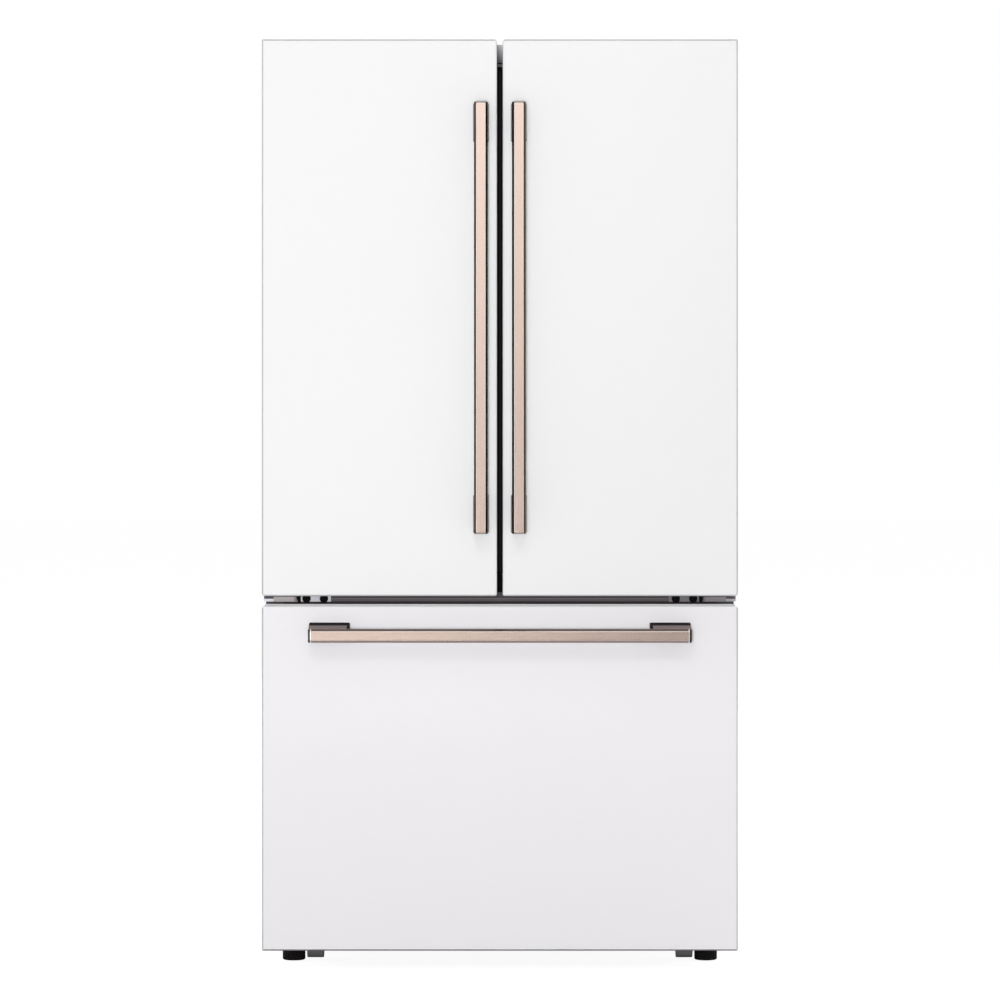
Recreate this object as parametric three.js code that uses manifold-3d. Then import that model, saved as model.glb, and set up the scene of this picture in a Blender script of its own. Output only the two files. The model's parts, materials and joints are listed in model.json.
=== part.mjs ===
// French door refrigerator with a bottom freezer drawer.
// Millimetres, +Z up, the doors face -Y. The origin is on the floor, under the middle of the overall box.
import * as THREE from 'three';
import { mergeVertices } from 'three/addons/utils/BufferGeometryUtils.js';
import Module from 'manifold-3d';

const wasm = await Module();
wasm.setup();

// ---------------------------------------------------------------- driving dimensions

const fit = 0.3;                 // clearance between pieces that seat on each other
const doorWidth = 448.6;
const doorGap = 10.8;            // between the two doors
const doorHeight = 1062.3;
const drawerHeight = 658;
const middleGap = 18.7;          // between the doors and the drawer front
const toeGap = 32;               // under the drawer front
const panelDepth = 90;           // foamed thickness of a door or the drawer front
const gasketDepth = 14;
const edgeRoll = 3;              // radius rolled on a panel's front edges
const skinReturn = 34;           // steel returned behind a panel, under its gasket
const caseDepth = 629.5;
const handleReach = 63.5;        // handle's front, ahead of the door face

const caseInset = 2;             // the doors stand proud of the case sides
const caseDrop = 1.5;            // the case top lies below the door tops
const caseBottom = 63;
const sheet = 1;                 // steel sheet
const caseRadius = 6;
const flangeWidth = 32;          // steel return round the case opening, for the gasket magnets
const linerWall = 2;
const sideWall = 53;             // foamed side wall, from case to liner
const topWall = 35;
const backWall = 60;
const floorWall = 35;            // under the freezer
const dividerHeight = 78;        // between freezer and fresh food
const railDepth = 22;            // crossbar's lips, front to back
const stepDepth = 163;           // freezer step over the machine room, front to back
const stepHeight = 235;
const stepWall = 30;             // foam between the step and the machine room
const linerRadius = 12;

const gasketInset = 4;           // door edge to gasket
const gasketHingeInset = 8;      // the same at the hinges, so that the swing doesn't squeeze it
const gasketWidth = 18;
const drawerGasketDrop = 40;     // drawer front bottom to its gasket
const dykeGap = 9;               // compartment wall to the raised rim of the door liner
const dykeWidth = 20;
const dykeHeight = 55;
const linerFloor = 9;            // door liner's thickness behind the gasket plane

const pinInset = 14;             // door side to hinge axis
const pinSetback = 35;           // door face to hinge axis
const pinRadius = 5;
const pinBore = pinRadius + fit;
const pinEngagement = 28;        // depth of the pin's hole in the door
const hingeArmWidth = 24;

const barWidth = 26;             // handle bars
const barFace = 18;               // its bright front, between the sloping sides
const barDepth = 14.5;
const barBevel = 0.9;            // narrow bevel round the bright front
const barEndTaper = 2.5;
const doorHandleLength = 819.5;
const doorHandleRise = 120.3;    // door bottom to the bar
const doorHandleOffset = 36;     // bar centre from the middle of the refrigerator
const doorMountLength = 73;
const doorMountWidth = 30;
const drawerHandleInset = 90.3;  // drawer front's end to the bar's end
const drawerHandleDrop = 54;     // drawer front top to the bar's centre
const drawerMountLength = 78;
const drawerMountFlare = 9.5;    // the drawer handle's mounts rise towards the panel

const mullionReach = 18;         // mullion's far edge from the middle
const mullionDepth = 22;
const mullionFarRadius = 12;     // far edge rounded off behind, to swing past the right door's handle
const mullionTopGap = 11;
const mullionAxisInset = 44;     // mullion's hinge axis from the middle
const mullionPinRadius = 3;
const mullionEdge = 6;           // hinge axis to the mullion's near edge
const guidePinOffset = 54;       // hinge axis to the guide pin
const guidePinRadius = 4;
const guideClearance = 1.5;      // round the guide pin
const foldSwing = 8;             // degrees of door swing over which the guide folds the mullion

const shelfGlass = 5;
const shelfGap = 15.7;           // door bins to the shelves
const shelfBackGap = 11;         // shelf frame to the air duct
const shelfRises = { upper: 492, lower: 252 };   // over the crisper cover
const shelfFrame = 14;
const ductWidth = 140;
const ductDepth = 20;

const crisperHeight = 176;
const crisperSetback = 161;      // case front to the crispers
const crisperWall = 2.5;
const coverRise = 23;            // crisper rim to the glass cover's top
const binDepth = 105;
const binWall = 2.5;
const bins = { upper: { rise: 679.3, height: 95 }, lower: { rise: 269.3, height: 125 } };

const railHeight = 46;
const railRise = 30;             // basket rim to the middle of the slides
const railBackGap = 58.5;        // slides to the back wall
const railMetal = 2;
const railRace = 0.4;            // running clearance between the members of a slide
const basketGap = 42;            // freezer wall to the basket
const basketBackGap = 23.5;      // basket to the step behind it
const basketLift = 33;           // over the freezer floor
const basketHeight = 310;
const basketRim = 10;
const trayDepth = 240;
const trayHeight = 96;

const footRadius = 22;
const footHeight = 30;
const footInset = 55.5;          // outer edge to the foot's axis
const footSetback = 19;          // case front to the foot's axis
const studRadius = 5;
const frontRoller = { inset: 97, setback: 31, radius: 24, width: 32, lift: 2 };
const rearRoller = { inset: 54, setback: caseDepth - 54.5, radius: 22, width: 26, lift: 0 };
const axleRadius = 4;
const cheek = 2;                 // roller bracket's side plate
const pan = 1.5;                 // base pan's plate
const runner = 2;                // its folded edges
const runnerHeight = 22;
const lipHeight = 16;            // base pan's front lip
const bossHeight = 14;           // boss that takes a foot's stud

// ---------------------------------------------------------------- places worked out from them

const half = doorWidth + doorGap / 2;
const drawerZ0 = toeGap;
const drawerZ1 = drawerZ0 + drawerHeight;
const doorZ0 = drawerZ1 + middleGap;
const doorZ1 = doorZ0 + doorHeight;
const caseHalf = half - caseInset;
const caseTop = doorZ1 - caseDrop;
const caseBack = (caseDepth + gasketDepth + panelDepth + handleReach) / 2;
const caseFront = caseBack - caseDepth;
const panelBack = caseFront - gasketDepth;
const faceY = panelBack - panelDepth;
const handleFront = faceY - handleReach;
const barBack = handleFront + barDepth;

const foamBack = caseBack - 2 * sheet - 3 * fit;
const cavityHalf = caseHalf - sideWall - linerWall;
const cavityBack = caseBack - backWall - linerWall;
const dividerCentre = doorZ0 - middleGap / 2;
const dividerZ0 = dividerCentre - dividerHeight / 2;
const dividerZ1 = dividerCentre + dividerHeight / 2;
const freshZ0 = dividerZ1 + fit + linerWall;
const freshZ1 = caseTop - topWall - linerWall;
const freezerZ0 = caseBottom + floorWall + linerWall;
const freezerZ1 = dividerZ0 - fit - linerWall;
const stepY = cavityBack - stepDepth;
const stepZ = freezerZ0 + stepHeight;
const roomFront = stepY + linerWall + stepWall;
const roomTop = stepZ - linerWall - stepWall;

const crisperTop = freshZ0 + crisperHeight;
const coverTop = crisperTop + coverRise;
const basketHalf = cavityHalf - basketGap;
const basketBottom = freezerZ0 + basketLift;
const basketRimHeight = basketBottom + basketHeight;
const railCentre = basketRimHeight + railRise;
const doorHandleBottom = doorZ0 + doorHandleRise;
const drawerHandleHeight = drawerZ1 - drawerHandleDrop;
const footX = half - footInset;

const pinX = half - pinInset;
const pinY = faceY + pinSetback;
const seatY = cavityBack - fit;  // what seats on the back wall of a compartment
const shelfFront = panelBack + linerFloor + fit + binDepth + shelfGap;
const crisperFront = caseFront + crisperSetback;

// ---------------------------------------------------------------- geometry helpers

const X = new THREE.Vector3(1, 0, 0);
const Y = new THREE.Vector3(0, 1, 0);
const Z = new THREE.Vector3(0, 0, 1);

// A position-only copy with shared vertices, as manifold-3d and the export want it.
function weld(geometry) {
  const bare = geometry.clone();
  bare.deleteAttribute('normal');
  bare.deleteAttribute('uv');
  return mergeVertices(bare, 1e-4);
}

function toSolid(geometry) {
  const welded = weld(geometry);
  return new wasm.Manifold(new wasm.Mesh({
    numProp: 3,
    vertProperties: new Float32Array(welded.attributes.position.array),
    triVerts: new Uint32Array(welded.index.array),
  }));
}

function toGeometry(solid) {
  const mesh = solid.getMesh();
  const geometry = new THREE.BufferGeometry();
  geometry.setAttribute('position', new THREE.BufferAttribute(mesh.vertProperties, 3));
  geometry.setIndex(new THREE.BufferAttribute(mesh.triVerts, 1));
  return geometry;
}

function join(...geometries) {
  return toGeometry(geometries.map(toSolid).reduce((a, b) => a.add(b)));
}

function cut(base, ...tools) {
  return toGeometry(tools.map(toSolid).reduce((a, b) => a.subtract(b), toSolid(base)));
}

function box(x0, x1, y0, y1, z0, z1) {
  const geometry = new THREE.BoxGeometry(x1 - x0, y1 - y0, z1 - z0);
  return geometry.translate((x0 + x1) / 2, (y0 + y1) / 2, (z0 + z1) / 2);
}

// An outline pushed along one axis: (y, z) along x, (x, z) along y, (x, y) along z.
function prism(axis, outline, from, to) {
  const shape = outline instanceof THREE.Shape ? outline
    : new THREE.Shape(outline.map(([a, b]) => new THREE.Vector2(a, b)));
  const geometry = new THREE.ExtrudeGeometry(shape, {
    depth: to - from, bevelEnabled: false, curveSegments: 8,
  });
  if (axis === 'x') {
    geometry.applyMatrix4(new THREE.Matrix4().makeBasis(Y, Z, X));
    return geometry.translate(from, 0, 0);
  }
  if (axis === 'y') {
    geometry.applyMatrix4(new THREE.Matrix4().makeBasis(X, Z, Y.clone().negate()));
    return geometry.translate(0, to, 0);
  }
  return geometry.translate(0, 0, from);
}

// A turned piece: profile of [radius, height], about a line through (x, y, z) along one axis.
// The lathe itself turns about y.
function turned(axis, profile, segments, x, y, z) {
  const points = profile.map(([r, h]) => new THREE.Vector2(r, h));
  const geometry = new THREE.LatheGeometry(points, segments);
  if (axis === 'z') geometry.applyMatrix4(new THREE.Matrix4().makeBasis(X, Z, Y.clone().negate()));
  if (axis === 'x') geometry.applyMatrix4(new THREE.Matrix4().makeBasis(Y.clone().negate(), X, Z));
  return outward(geometry.translate(x, y, z));
}

function rod(axis, radius, from, to, segments, x, y, z) {
  return turned(axis, [[0, from], [radius, from], [radius, to], [0, to]], segments, x, y, z);
}

function volume(geometry) {
  const p = geometry.attributes.position;
  const a = new THREE.Vector3();
  const b = new THREE.Vector3();
  const c = new THREE.Vector3();
  let sum = 0;
  for (let i = 0; i < geometry.index.count; i += 3) {
    a.fromBufferAttribute(p, geometry.index.getX(i));
    b.fromBufferAttribute(p, geometry.index.getX(i + 1));
    c.fromBufferAttribute(p, geometry.index.getX(i + 2));
    sum += a.dot(b.cross(c)) / 6;
  }
  return sum;
}

// Turns the faces of a closed geometry outward.
function outward(geometry) {
  if (volume(geometry) < 0) {
    const index = geometry.index;
    for (let i = 0; i < index.count; i += 3) {
      const first = index.getX(i);
      index.setX(i, index.getX(i + 2));
      index.setX(i + 2, first);
    }
  }
  return geometry;
}

// One rounded rectangle across an axis. Its radii run from the low-low corner anticlockwise.
function section(axis, at, [u0, u1, v0, v1], radii, steps = 4) {
  const r = (Array.isArray(radii) ? radii : [radii, radii, radii, radii]).map((q) => Math.max(q, 0.05));
  const corners = [
    [u0 + r[0], v0 + r[0], r[0], Math.PI],
    [u1 - r[1], v0 + r[1], r[1], Math.PI * 1.5],
    [u1 - r[2], v1 - r[2], r[2], 0],
    [u0 + r[3], v1 - r[3], r[3], Math.PI / 2],
  ];
  const points = [];
  for (const [u, v, radius, start] of corners) {
    for (let i = 0; i <= steps; i += 1) {
      const t = start + (i / steps) * (Math.PI / 2);
      const a = u + radius * Math.cos(t);
      const b = v + radius * Math.sin(t);
      if (axis === 'x') points.push(new THREE.Vector3(at, a, b));
      if (axis === 'y') points.push(new THREE.Vector3(a, at, b));
      if (axis === 'z') points.push(new THREE.Vector3(a, b, at));
    }
  }
  return points;
}

// Skins a run of sections of equal length. A ring closes on itself, anything else is capped.
function loft(sections, ring = false) {
  const n = sections[0].length;
  const index = [];
  const rows = ring ? sections.length : sections.length - 1;
  for (let s = 0; s < rows; s += 1) {
    const a = s * n;
    const b = ((s + 1) % sections.length) * n;
    for (let i = 0; i < n; i += 1) {
      const j = (i + 1) % n;
      index.push(a + i, a + j, b + j, a + i, b + j, b + i);
    }
  }
  if (!ring) {
    const last = (sections.length - 1) * n;
    for (let i = 1; i < n - 1; i += 1) {
      index.push(0, i + 1, i, last, last + i, last + i + 1);
    }
  }
  const geometry = new THREE.BufferGeometry();
  const flat = sections.flat().flatMap((p) => [p.x, p.y, p.z]);
  geometry.setAttribute('position', new THREE.Float32BufferAttribute(flat, 3));
  geometry.setIndex(index);
  return outward(geometry);
}

const inset = ([u0, u1, v0, v1], d) => [u0 + d, u1 - d, v0 + d, v1 - d];

// A slab across the depth, from rows of [y, inset, radius].
const slab = (rect, rows, steps) => loft(rows.map(([y, d, r]) => section('y', y, inset(rect, d), r, steps)));

// A ring round a rectangle, from a profile of [inset, y].
const frameRing = (rect, profile, radius, steps = 3) => loft(
  profile.map(([d, y]) => section('y', y, inset(rect, d), Math.max(radius - d, 1), steps)), true,
);

// An open-topped tub with a wall all round: rect at the foot, spread by flare at the top.
function tub([x0, x1, y0, y1], z0, z1, wall, radius, flare = 0, floor = wall) {
  const foot = [x0, x1, y0, y1];
  const top = inset(foot, -flare);
  return loft([
    section('z', z0, inset(foot, 1.5), radius - 1.5, 3),
    section('z', z0 + 1.5, foot, radius, 3),
    section('z', z1, top, radius + flare, 3),
    section('z', z1, inset(top, wall), radius + flare - wall, 3),
    section('z', z0 + floor, inset(foot, wall), radius - wall, 3),
  ]);
}

const mirrorX = (geometry) => (
  outward(weld(geometry).applyMatrix4(new THREE.Matrix4().makeScale(-1, 1, 1)))
);

// ---------------------------------------------------------------- materials

const paint = (color, roughness, metalness) => (
  new THREE.MeshStandardMaterial({ color, roughness, metalness })
);
const materials = {
  whitePanel: paint('#eeeeef', 0.35, 0.1),
  caseGrey: paint('#8d8e90', 0.45, 0.4),
  linerWhite: paint('#f4f5f6', 0.3, 0),
  binClear: paint('#dfe7ea', 0.15, 0),
  railBrown: paint('#4c464a', 0.5, 0.3),
  gasketGrey: paint('#a7a8aa', 0.7, 0),
  copper: paint('#e3c9b8', 0.3, 0.9),
  bronze: paint('#4a3a34', 0.4, 0.8),
  zinc: paint('#b8babc', 0.35, 0.9),
  black: paint('#141415', 0.5, 0),
  wheelGrey: paint('#5e5f61', 0.6, 0),
  foam: paint('#e8dcb0', 0.9, 0),
  galvanised: paint('#9fa3a6', 0.5, 0.7),
  compressorBlack: paint('#1b1c1e', 0.45, 0.5),
};

const refrigerator = new THREE.Group();

function add(name, material, geometry) {
  const mesh = new THREE.Mesh(weld(geometry), materials[material]);
  mesh.name = name;
  refrigerator.add(mesh);
  return mesh;
}

// The same piece on the left and, mirrored, on the right.
function addPair(name, material, leftGeometry) {
  add(`left_${name}`, material, leftGeometry);
  add(`right_${name}`, material, mirrorX(leftGeometry));
}

// ---------------------------------------------------------------- cabinet

// Cross-section of the cabinet in (x, z), shrunk by some walls, with its rounded top corners.
function arch(shrink, bottom) {
  const side = caseHalf - shrink;
  const top = caseTop - shrink;
  const radius = Math.max(caseRadius - shrink, 0.5);
  const shape = new THREE.Shape();
  shape.moveTo(-side, bottom);
  shape.lineTo(side, bottom);
  shape.lineTo(side, top - radius);
  shape.absarc(side - radius, top - radius, radius, 0, Math.PI / 2, false);
  shape.lineTo(-side + radius, top);
  shape.absarc(-side + radius, top - radius, radius, Math.PI / 2, Math.PI, false);
  return shape;
}

// Steel wrapper: sides and top in one sheet, returned inward round the opening.
function outerCase() {
  const opening = caseHalf - flangeWidth;
  return cut(
    prism('y', arch(0, caseBottom), caseFront, caseBack),
    prism('y', arch(sheet, caseBottom - 1), caseFront + sheet, caseBack + 1),
    box(-opening, opening, caseFront - 1, caseFront + 2 * sheet, caseBottom - 1, caseTop - flangeWidth),
  );
}

// Outline of the freezer compartment in (y, z), grown by a wall, with its step at the back.
const freezerOutline = (grow, front) => [
  [front, freezerZ0 - grow],
  [stepY + grow, freezerZ0 - grow],
  [stepY + grow, stepZ - grow],
  [cavityBack + grow, stepZ - grow],
  [cavityBack + grow, freezerZ1 + grow],
  [front, freezerZ1 + grow],
];

function freshFoodLiner() {
  const inner = [-cavityHalf, cavityHalf, freshZ0, freshZ1];
  const outer = inset(inner, -linerWall);
  const side = caseHalf - flangeWidth - fit;
  const flange = [-side, side, dividerZ1 + fit - 0.1, caseTop - flangeWidth - fit];
  return loft([
    section('y', cavityBack + linerWall, outer, linerRadius),
    section('y', caseFront + linerWall, outer, linerRadius),
    section('y', caseFront + linerWall, flange, linerRadius - 4),
    section('y', caseFront, flange, linerRadius - 4),
    section('y', caseFront, inner, linerRadius - linerWall),
    section('y', cavityBack, inner, linerRadius - linerWall),
  ]);
}

function freezerLiner() {
  const side = caseHalf - flangeWidth - fit;
  const outer = cavityHalf + linerWall;
  return cut(
    join(
      prism('x', freezerOutline(linerWall, caseFront), -outer, outer),
      box(-side, side, caseFront, caseFront + linerWall, caseBottom + fit, dividerZ0 - fit),
    ),
    prism('x', freezerOutline(0, caseFront - 1), -cavityHalf, cavityHalf),
  );
}

// Foam between the case and the liners, open over the machine room.
function cabinetInsulation() {
  const side = caseHalf - sheet - fit;
  const front = caseFront + linerWall + fit;
  const lining = cavityHalf + linerWall + fit;
  const hollow = linerWall + fit;
  const rail = dividerZ1 - dividerZ0;
  return cut(
    prism('y', arch(sheet + fit, caseBottom + fit), front, foamBack),
    box(-lining, lining, front - 1, cavityBack + hollow, freshZ0 - hollow, freshZ1 + hollow),
    prism('x', freezerOutline(hollow, front - 1), -lining, lining),
    box(-lining - rail, lining + rail, front - 1, caseFront + railDepth + fit,
      dividerZ0 - fit, dividerZ1 + fit),
    box(-side - 1, side + 1, roomFront, caseBack + 1, caseBottom - 1, roomTop),
  );
}

// Steel crossbar between the compartments, seen in the gap above the drawer.
function centerRail() {
  const side = caseHalf - flangeWidth - fit;
  const wall = 1.5;
  return prism('x', [
    [caseFront, dividerZ0], [caseFront + railDepth, dividerZ0],
    [caseFront + railDepth, dividerZ0 + wall], [caseFront + wall, dividerZ0 + wall],
    [caseFront + wall, dividerZ1 - wall], [caseFront + railDepth, dividerZ1 - wall],
    [caseFront + railDepth, dividerZ1], [caseFront, dividerZ1],
  ], -side, side);
}

// Steel back with three upright stiffening beads.
const bead = { halfWidth: 14, fromBottom: 60, fromTop: 80 };
function rearPanel() {
  const side = caseHalf - sheet - fit;
  const y1 = caseBack - sheet;
  const beadY = y1 + 0.8 * sheet;
  const plate = prism('y', arch(sheet + fit, roomTop + fit), y1 - sheet, y1);
  const { halfWidth, fromBottom, fromTop } = bead;
  const beads = [-side / 2, 0, side / 2].map((x) => (
    box(x - halfWidth, x + halfWidth, y1 - sheet / 2, beadY, roomTop + fromBottom, caseTop - fromTop)
  ));
  return join(plate, ...beads);
}

// Access cover over the machine room, with two columns of air slots.
function compressorCover() {
  const side = caseHalf - sheet - fit;
  const y1 = caseBack - sheet;
  const z0 = caseBottom + fit;
  const z1 = roomTop - fit;
  const rows = 8;
  const slotHeight = 7;
  const slotHalf = 85;
  const slots = [];
  for (const x of [-side / 2, side / 2]) {
    for (let row = 1; row <= rows; row += 1) {
      const z = z0 + ((z1 - z0) * row) / (rows + 1);
      slots.push(box(x - slotHalf, x + slotHalf, y1 - 2 * sheet, y1 + sheet,
        z - slotHeight / 2, z + slotHeight / 2));
    }
  }
  return cut(box(-side, side, y1 - sheet, y1, z0, z1), ...slots);
}

// Cheeks and a fixed axle for one roller, under the base pan.
function rollerBracket(side, { inset: fromEdge, setback, radius, width, lift }) {
  const x = half - fromEdge;
  const y = caseFront + setback;
  const z = radius + lift;
  const inner = width / 2 + fit;
  const plates = [side * x - inner - cheek, side * x + inner].map((x0) => (
    box(x0, x0 + cheek, y - radius, y + radius, z - 2 * axleRadius, caseBottom - fit - pan / 2)
  ));
  const axle = rod('x', axleRadius, -inner - cheek / 2, inner + cheek / 2, 12, side * x, y, z);
  return [...plates, axle];
}

// Base pan with side runners, foot bosses and roller brackets.
function baseFrame() {
  const side = caseHalf - sheet - fit;
  const top = caseBottom - fit;
  const front = caseFront + linerWall + fit;
  const pieces = [box(-side, side, front, foamBack, top - pan, top)];
  for (const s of [-1, 1]) {
    const edge = s * side;
    const rib = edge - s * runner;
    pieces.push(box(Math.min(edge, rib), Math.max(edge, rib), front, foamBack, top - runnerHeight, top));
    pieces.push(rod('z', 3 * studRadius, top - bossHeight, top - pan / 2, 16,
      s * footX, caseFront + footSetback, 0));
    pieces.push(...rollerBracket(s, frontRoller));
    pieces.push(...rollerBracket(s, rearRoller));
  }
  pieces.push(box(-side, side, front, front + runner, top - lipHeight, top));
  const holes = [-1, 1].map((s) => (
    rod('z', studRadius + fit, top - 40, top + 1, 12, s * footX, caseFront + footSetback, 0)
  ));
  return cut(join(...pieces), ...holes);
}

// Hermetic compressor on its feet, with a suction and a discharge stub.
const pot = { x: 190, radius: 72, height: 172, lift: 18, plateHalf: 84, plateDepth: 52, footRadius: 9 };
function compressor() {
  const x = -pot.x;
  const y = (roomFront + caseBack) / 2;
  const base = caseBottom + fit;
  const { radius, height, lift, plateHalf, plateDepth } = pot;
  const shell = turned('z', [
    [0, lift], [radius * 0.6, lift + 1], [radius * 0.9, lift * 1.6], [radius, height * 0.27],
    [radius, height * 0.7], [radius * 0.93, height * 0.85], [radius * 0.66, height * 0.95],
    [radius * 0.3, height * 0.994], [0, height],
  ], 24, x, y, base);
  const seam = rod('z', radius + 4, height / 2 - 3, height / 2 + 3, 24, x, y, base);
  const plate = box(x - plateHalf, x + plateHalf, y - plateDepth, y + plateDepth,
    base + lift * 0.67, base + lift * 0.84);
  const post = rod('z', radius * 0.55, lift * 0.72, lift * 1.33, 16, x, y, base);
  const feet = [-1, 1].flatMap((i) => [-1, 1].map((j) => (
    rod('z', pot.footRadius, 0, lift * 0.78, 12, x + i * (plateHalf - 12), y + j * (plateDepth - 12), base)
  )));
  const stubs = [rod('x', 4, radius - 6, radius * 1.44, 10, x, y - radius * 0.28, base + height * 0.7),
    rod('x', 3, radius - 6, radius * 1.33, 10, x, y + radius * 0.28, base + height * 0.4)];
  return join(shell, seam, plate, post, ...feet, ...stubs);
}

// Air tower on the back wall of the fresh food compartment, with its outlets.
function airDuctCover() {
  const rect = [-ductWidth / 2, ductWidth / 2, coverTop + 22, freshZ1 - 18];
  const front = seatY - ductDepth;
  const body = slab(rect, [[seatY, 0, 8], [front + 5, 0, 8], [front + 1.5, 1.5, 7], [front, 5, 5]], 3);
  const outlets = [0.12, 0.37, 0.62, 0.87].map((share) => {
    const z = rect[2] + share * (rect[3] - rect[2]);
    return box(-ductWidth / 2 + 22, ductWidth / 2 - 22, front - 1, front + 8, z - 5, z + 5);
  });
  return cut(body, ...outlets);
}

// ---------------------------------------------------------------- hinges

// Plate on the case top with an arm over the door and a pin down into it.
const topPlate = { outer: 10, inner: 58, depth: 81, thickness: 3, bolts: [26, 61] };
const plateX = [topPlate.outer - half, topPlate.inner - half];
const plateBack = caseFront + topPlate.depth;
const topHingeLow = caseTop + fit;
const recessFloor = caseTop - 2;
function topHinge() {
  const armHalf = hingeArmWidth / 2;
  const shape = new THREE.Shape();
  shape.moveTo(plateX[1], caseFront + 12);
  shape.lineTo(plateX[1], plateBack);
  shape.lineTo(plateX[0], plateBack);
  shape.lineTo(plateX[0], caseFront + 2);
  shape.lineTo(-pinX - armHalf, caseFront - 6);
  shape.lineTo(-pinX - armHalf, pinY);
  shape.absarc(-pinX, pinY, armHalf, Math.PI, 2 * Math.PI, false);
  shape.lineTo(-pinX + armHalf, caseFront - 6);
  const plate = prism('z', shape, topHingeLow, topHingeLow + topPlate.thickness);
  const pin = rod('z', pinRadius, recessFloor - pinEngagement + 2, topHingeLow + 1, 12, -pinX, pinY, 0);
  const middle = (plateX[0] + plateX[1]) / 2;
  const bolts = topPlate.bolts.map((y) => (
    rod('z', 6.5, topHingeLow + 1, topHingeLow + topPlate.thickness + 4, 6, middle, caseFront + y, 0)
  ));
  return join(plate, pin, ...bolts);
}

function hingeCover() {
  const rect = [-caseHalf + 1.5, plateX[1] + 10, caseFront + 1.5, plateBack + 12];
  const low = caseTop + fit;
  const high = low + 9.5;
  const wall = 1.6;
  const shell = loft([
    section('z', high - wall, inset(rect, wall), 5, 3),
    section('z', low, inset(rect, wall), 5, 3),
    section('z', low, rect, 7, 3),
    section('z', high - 2, rect, 7, 3),
    section('z', high, inset(rect, 2.5), 5, 3),
  ]);
  return cut(shell, box(-caseHalf - 1, plateX[1] + 8, rect[2] - 1, rect[2] + wall + 1, low - 1, low + 5));
}

// Bracket on the crossbar: a plate, and a thick arm out to the pin that carries the door.
const bracket = { inner: 127.5, outer: 22, armInner: 64.3, plate: 3, bush: 2, arm: 9.2 };
function middleHinge() {
  const back = caseFront - fit;
  const armHalf = hingeArmWidth / 2;
  const armZ0 = doorZ0 - bracket.bush - bracket.arm;
  const armInner = bracket.armInner - half;
  const shape = new THREE.Shape();
  shape.moveTo(armInner, back);
  shape.lineTo(-pinX - armHalf, back);
  shape.lineTo(-pinX - armHalf, pinY);
  shape.absarc(-pinX, pinY, armHalf, Math.PI, 1.5 * Math.PI, false);
  shape.lineTo(armInner - 4, pinY - armHalf);
  shape.lineTo(armInner, pinY - armHalf + 4);
  const arm = prism('z', shape, armZ0, armZ0 + bracket.arm);
  const plate = box(bracket.outer - half, bracket.inner - half, back - bracket.plate, back,
    drawerZ1 + 3.5, doorZ0 - 3);
  const bush = rod('z', 9, doorZ0 - bracket.bush - 1, doorZ0 - fit, 12, -pinX, pinY, 0);
  const pin = rod('z', pinRadius, armZ0 + 1, doorZ0 + pinEngagement - 2, 12, -pinX, pinY, 0);
  return join(arm, plate, bush, pin);
}

// ---------------------------------------------------------------- doors

const leftDoorRect = [-half, -doorGap / 2, doorZ0, doorZ1];
const doorGasketRect = [
  leftDoorRect[0] + gasketHingeInset, leftDoorRect[1] - gasketInset,
  leftDoorRect[2] + gasketInset, leftDoorRect[3] - gasketInset,
];

// Steel skin of a door or the drawer front: rolled front edges, sides, and a return at the back.
// Solids in keep stand inside the skin, for the pins to run in.
function skin(rect, corners, keep = []) {
  const less = (d) => corners.map((r) => r - d);
  const outer = slab(rect, [
    [faceY, edgeRoll, less(edgeRoll)], [faceY + 0.3 * edgeRoll, 0.3 * edgeRoll, less(0.3 * edgeRoll)],
    [faceY + edgeRoll, 0, corners], [panelBack, 0, corners],
  ]);
  const wall = less(sheet);
  const hollow = slab(rect, [
    [faceY + sheet, edgeRoll + sheet, less(edgeRoll + sheet)], [faceY + edgeRoll + sheet, sheet, wall],
    [panelBack - sheet, sheet, wall],
  ]);
  const [x0, x1, z0, z1] = inset(rect, skinReturn);
  const opening = box(x0, x1, panelBack - 2 * sheet, panelBack + 1, z0, z1);
  return cut(outer, keep.length ? cut(hollow, ...keep) : hollow, opening);
}

// Left door: the skin, a pocket for the top hinge's arm, and a boss round each hinge pin.
function leftDoorPanel() {
  const pocketInner = -pinX + hingeArmWidth / 2 + 5;
  const pocketFront = pinY - hingeArmWidth / 2 - 11;
  const bossRadius = pinRadius + 6;
  const topBoss = [recessFloor - pinEngagement - 6, doorZ1];
  const footBoss = [doorZ0, doorZ0 + pinEngagement + 6];
  const shell = skin(leftDoorRect, [5, 4, 5, 1.5], [
    box(-half, pocketInner + sheet, pocketFront - sheet, panelBack + 1, recessFloor - sheet, doorZ1 + 1),
    rod('z', bossRadius, ...topBoss, 12, -pinX, pinY, 0),
    rod('z', bossRadius, ...footBoss, 12, -pinX, pinY, 0),
  ]);
  return cut(
    shell,
    box(-half - 1, pocketInner, pocketFront, panelBack + 1, recessFloor, doorZ1 + 1),
    rod('z', pinBore, recessFloor - pinEngagement, doorZ1 + 1, 12, -pinX, pinY, 0),
    rod('z', pinBore, doorZ0 - 1, doorZ0 + pinEngagement, 12, -pinX, pinY, 0),
  );
}

// Bellows gasket with its magnet, as one ring.
function gasket(rect) {
  const back = panelBack + fit;
  const front = caseFront - fit;
  const width = gasketWidth;
  return frameRing(rect, [
    [3, back], [3, back + 4], [0, back + 6], [0, front],
    [width, front], [width, back + 6], [width - 3, back + 4], [width - 3, back],
  ], 6);
}

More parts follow.
